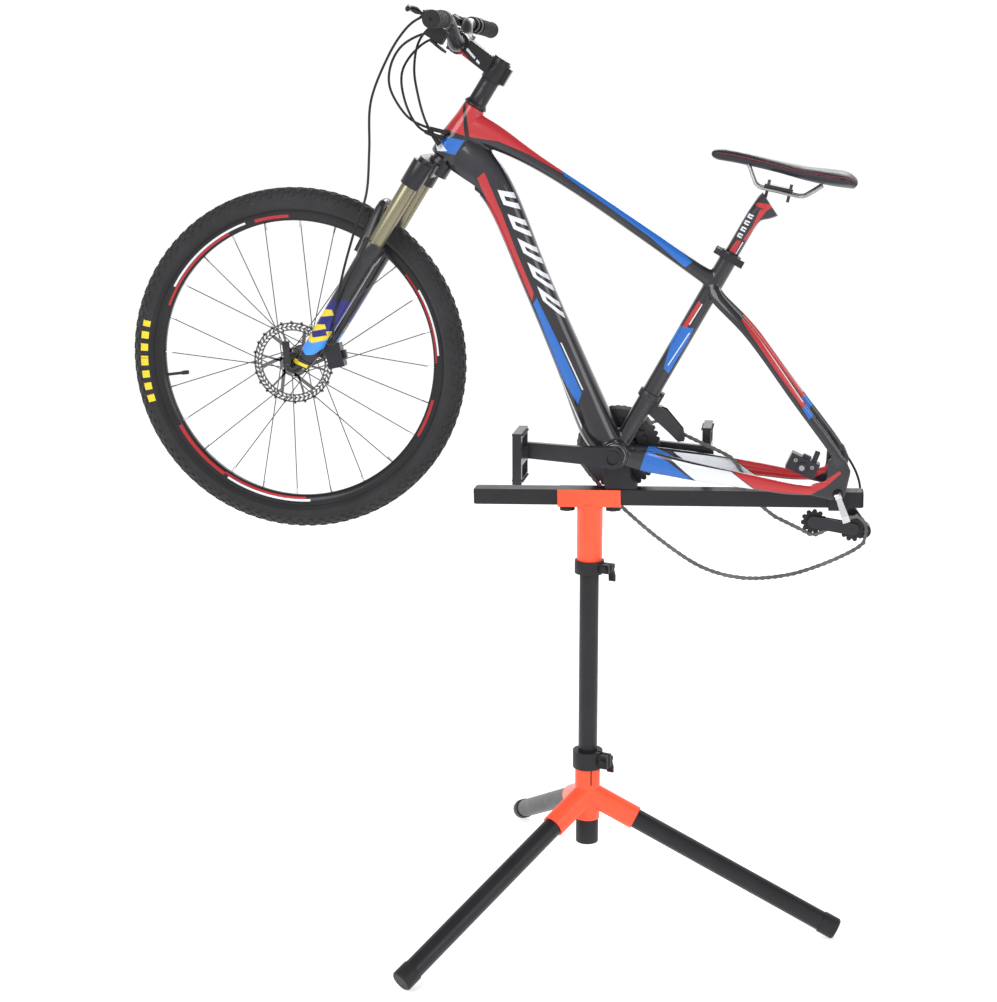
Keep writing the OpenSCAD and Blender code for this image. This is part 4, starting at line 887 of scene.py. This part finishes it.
def saddle():
    """Padded saddle with a line of piping along each edge."""
    rows = [
        [SADDLE_X, 0, SADDLE_H - 17, 5, 11],
        [SADDLE_X + 0.04 * SADDLE_L, 0, SADDLE_H - 12, 9, 17],
        [SADDLE_X + 0.20 * SADDLE_L, 0, SADDLE_H - 10, 9, 20],
        [SADDLE_X + 0.45 * SADDLE_L, 0, SADDLE_H - 11, 9, 30],
        [SADDLE_X + 0.65 * SADDLE_L, 0, SADDLE_H - 12, 11, SADDLE_W * 0.34],
        [SADDLE_X + 0.80 * SADDLE_L, 0, SADDLE_H - 10, 13, SADDLE_W * 0.46],
        [SADDLE_X + 0.92 * SADDLE_L, 0, SADDLE_H - 8, 13, SADDLE_W * 0.49],
        [SADDLE_X + SADDLE_L, 0, SADDLE_H - 12, 8, SADDLE_W * 0.36],
    ]
    shape = Shape()
    shape.loft(rows, steps=6, n=48, q=0.8)
    obj = shape.piece("saddle_pad", BIKE, None, [PRINT["saddle_cover"]])
    stuff(obj, 0.004, 0.0016)
    obj.data.shade_smooth()
    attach(obj, "seat")
    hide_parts("saddle")
    line = Shape()
    edge = spline(rows[1:], 6)
    for side in (1, -1):
        path = [(x, side * (b * 0.955 + 0.9), z + a * 0.34) for x, _, z, a, b in edge[:-3]]
        line.sweep(path, 1.1, 0.9, side=(0, 0, 1), n=8)
    line.piece("saddle_piping", BIKE, "seat", [THREAD])


def stuff(obj, voxel, cap):
    """Remesh a pad, swell it as cloth under pressure, and keep each point within cap."""
    skin = obj.modifiers.new("skin", "REMESH")
    skin.mode = "VOXEL"
    skin.voxel_size = voxel
    applied(obj)
    count = len(obj.data.vertices)
    start = np.empty(count * 3)
    obj.data.vertices.foreach_get("co", start)
    cloth = obj.modifiers.new("swell", "CLOTH")
    cloth.settings.use_pressure = True
    cloth.settings.uniform_pressure_force = 4
    cloth.settings.effector_weights.gravity = 0
    for f in range(1, CLOTH_FRAMES + 1):
        bpy.context.scene.frame_set(f)
    applied(obj)
    bpy.context.scene.frame_set(1)
    end = np.empty(count * 3)
    obj.data.vertices.foreach_get("co", end)
    move = (end - start).reshape(-1, 3)
    far = np.linalg.norm(move, axis=1, keepdims=True)
    move *= np.minimum(1, cap / np.maximum(far, 1e-9))
    obj.data.vertices.foreach_set("co", start + move.ravel())
    fine = obj.modifiers.new("fine", "SUBSURF")
    fine.levels = fine.render_levels = 1
    applied(obj)


saddle()

# ---------------------------------------------------------------- cockpit


def bar_points():
    """Axis of the handlebar's near half, in the steering frame."""
    stem_len, bar_s, rise, half = 86, 695, 32, 318
    return [
        (-stem_len, 0, bar_s), (-stem_len, 22, bar_s), (-stem_len, 42, bar_s),
        (-stem_len - 7, 66, bar_s + rise * 0.3), (-stem_len - 20, 92, bar_s + rise * 0.85),
        (-stem_len - 24, 118, bar_s + rise), (-stem_len - 21.5, 158, bar_s + rise),
        (-stem_len - 12, half - 5, bar_s + rise)]


BAR = bar_points()
BAR_R = [15.9, 15.9, 15.9, 13, 11.8, 11.1, 11.1, 11.1]
bar_dir = unit(np.array(BAR[7]) - np.array(BAR[5]))


def on_bar(y, side=1):
    """Frame on the outer part of the handlebar, in millimetres of the steering frame."""
    origin = np.array(BAR[5]) + bar_dir * (y - 118) / bar_dir[1]
    turn = -math.atan2(bar_dir[0], bar_dir[1])
    return (
        Matrix.Scale(side, 4, (0, 1, 0))
        @ Matrix.Translation(Vector(origin))
        @ Matrix.Rotation(turn, 4, "Z")
    )


def handlebar():
    """One-piece riser bar."""
    left = [(x, -y, z) for x, y, z in BAR[:0:-1]]
    rows = [(*p, r, r) for p, r in zip(left + BAR, BAR_R[:0:-1] + BAR_R)]
    shape = Shape()
    shape.loft(rows, steps=8, n=32, q=1.0, side=(0, 0, 1))
    shape.piece("riser_bar", STEER, "steering", [PRINT["black_alloy"]], ["handlebar"])


GRIP_L, GRIP_IN = 128, 190
BOLT_CIRCLE = 56


def grips():
    """Two ribbed grips with closed ends."""
    shape = Shape()
    for side in (1, -1):
        at = on_bar(GRIP_IN, side)
        profile = [(11.3, 0.5), (16.2, 0.5), (16.4, 2), (16.4, 5), (15, 6)]
        y = 6.0
        while y < GRIP_L - 12:
            profile += [(15, y), (15.4, y + 0.5), (15.4, y + 2.6), (14.4, y + 3.1)]
            y += 4.2
        profile += [(15, GRIP_L - 8), (16.2, GRIP_L - 7), (16.2, GRIP_L - 1.5),
                    (14.5, GRIP_L - 0.6), (3, GRIP_L - 0.6), (3, GRIP_L - 2), (11.3, GRIP_L - 4)]
        shape.lathe(profile, 40, at=at)
    shape.piece("ribbed_grips", STEER, "steering", [PRINT["grip_rubber"]], ["grips"],
                crease=40)


handlebar()
grips()

# ---------------------------------------------------------------- fittings

FORK_OFFSET = -42  # of the front axle, from the steering axis
RAIL_TOP = 0.899  # height of the rail in metres, where it crosses the mast


def caliper_fittings(name, place, at, outer, body):
    """Piston cap, two mounting bolts and a banjo on the outer face of a brake caliper."""
    shape = Shape()
    shape.rod(11, -outer - 2.5, -outer + 1, 40, 0, at=at, edge=1.2)
    shape.rod(6, -outer - 3.6, -outer - 1, 6, 1, at=at, edge=0.6)
    for x in (-17, 17):
        bolt = at @ Matrix.Translation((x, 0, 9))
        shape.rod(3.8, -outer - 3, -outer + 1, 24, 1, at=bolt)
        shape.rod(1.8, -outer - 3.3, -outer - 2, 6, 0, at=bolt, edge=0.2)
    shape.block((-8, -outer + 3, 19), (8, -outer + 13, 26), 0, at=at)
    shape.piece(name, place, body, [PRINT["black_alloy"], PRINT["steel"]], bevel=0.5)


caliper_fittings(
    "front_caliper_fittings", STEER,
    Matrix.Translation((FORK_OFFSET + 63.5, ROTOR_Y, 58))
    @ Matrix.Rotation(math.radians(45), 4, "Y"),
    13, "lowers")
caliper_fittings(
    "rear_caliper_fittings", BIKE,
    Matrix.Translation((REAR_X - 78, -57.5, BB_DROP + 34))
    @ Matrix.Rotation(math.radians(12), 4, "Y"),
    15, "bike")


def rail_plugs():
    """Plastic plugs that close the two ends of the rail."""
    axis = joints["rail_shift"]["axis"]
    place = turned(Vector((0, 0, RAIL_TOP)), -math.atan2(axis[2], axis[0]))
    shape = Shape()
    for x0, x1 in ((-231, -228), (528, 531)):
        shape.block((x0, -19.6, -30.6), (x1, 19.6, -0.4), at=Matrix.Identity(4))
    shape.piece("rail_plugs", place, "bike", [PRINT["black_plastic"]], bevel=1.2)


def crank_fittings():
    """Bolts of the chainrings."""
    shape = Shape()
    for k in range(4):
        a = math.radians(45 + 90 * k)
        at = Matrix.Translation((BOLT_CIRCLE * math.cos(a), 0, BOLT_CIRCLE * math.sin(a)))
        shape.rod(4.4, CHAIN_Y + 7.6, CHAIN_Y + 9.2, 20, 0, at=at)
    shape.piece("chainring_bolts", CRANK, "crank", [PRINT["silver_alloy"]])


def frame_fittings():
    """Rubber sleeves where three cords enter the head tube."""
    shape = Shape()
    for name, size in (("left_housing", 4), ("right_housing", 4), ("rear_brake_hose", 4.4)):
        end = spline(ROUTES[name][2], 8)[-7:]
        shape.sweep(end, [size - 1.2, size, size, size, size, size, size], size,
                    side=(0.3, 0.5, 0.8), n=16)
    shape.piece("cable_sleeves", STEER, "bike", [PRINT["grip_rubber"]])


rail_plugs()
crank_fittings()
frame_fittings()

# ---------------------------------------------------------------- stage, light and camera


def studio():
    """Pale floor, soft sky, three lamps and the camera of the reference view."""
    floor = bpy.data.meshes.new("floor")
    reach = 30.0
    floor.from_pydata(
        [(-reach, -reach, 0), (reach, -reach, 0), (reach, reach, 0), (-reach, reach, 0)], [],
        [(0, 1, 2, 3)])
    obj = bpy.data.objects.new("floor", floor)
    bpy.context.scene.collection.objects.link(obj)
    pale = finish("floor_pale", (0.9, 0.9, 0.9), 0.01, (0.8, 0.9), grain=40, bump=0.01)
    glow = pale.node_tree.nodes["Principled BSDF"].inputs
    glow["Emission Color"].default_value = (1, 1, 1, 1)
    glow["Emission Strength"].default_value = 0.5
    floor.materials.append(pale)
    world = bpy.data.worlds.new("studio")
    bpy.context.scene.world = world
    world.use_nodes = True
    tree = world.node_tree
    place = tree.nodes.new("ShaderNodeTexCoord").outputs["Generated"]
    parts = tree.nodes.new("ShaderNodeSeparateXYZ")
    ramp = tree.nodes.new("ShaderNodeMapRange")
    ramp.interpolation_type = "SMOOTHSTEP"
    for key, value in (("From Min", 0.2), ("From Max", 0.8), ("To Min", 1.03), ("To Max", 0.4)):
        ramp.inputs[key].default_value = value
    tree.links.new(place, parts.inputs[0])
    tree.links.new(parts.outputs[2], ramp.inputs["Value"])
    tree.links.new(ramp.outputs[0], tree.nodes["Background"].inputs[1])
    tree.nodes["Background"].inputs[0].default_value = (1, 1, 1, 1)
    for name, place, aim, size, power in (
        ("key", (-1.8, -3.2, 3.6), (0, 0, 0.9), 2.4, 90),
        ("fill", (3.2, -2.4, 2.2), (0, 0, 0.9), 2.0, 40),
        ("rim", (0.5, 3.0, 3.4), (0, 0, 0.9), 2.0, 50),
    ):
        lamp = bpy.data.lights.new(name, "AREA")
        lamp.energy = power
        lamp.size = size
        obj = bpy.data.objects.new(name, lamp)
        obj.location = place
        obj.rotation_euler = (Vector(aim) - Vector(place)).to_track_quat("-Z", "Y").to_euler()
        bpy.context.scene.collection.objects.link(obj)
    lens = bpy.data.cameras.new("camera")
    lens.sensor_width = 36
    lens.lens = 66.2
    lens.clip_end = 200
    camera = bpy.data.objects.new("camera", lens)
    camera.location = (0.3906, -3.5465, 1.6709)
    camera.rotation_euler = (math.radians(77.37), math.radians(0.12), math.radians(9.17))
    bpy.context.scene.collection.objects.link(camera)
    bpy.context.scene.camera = camera
    bpy.context.scene.view_settings.view_transform = "Standard"


studio()
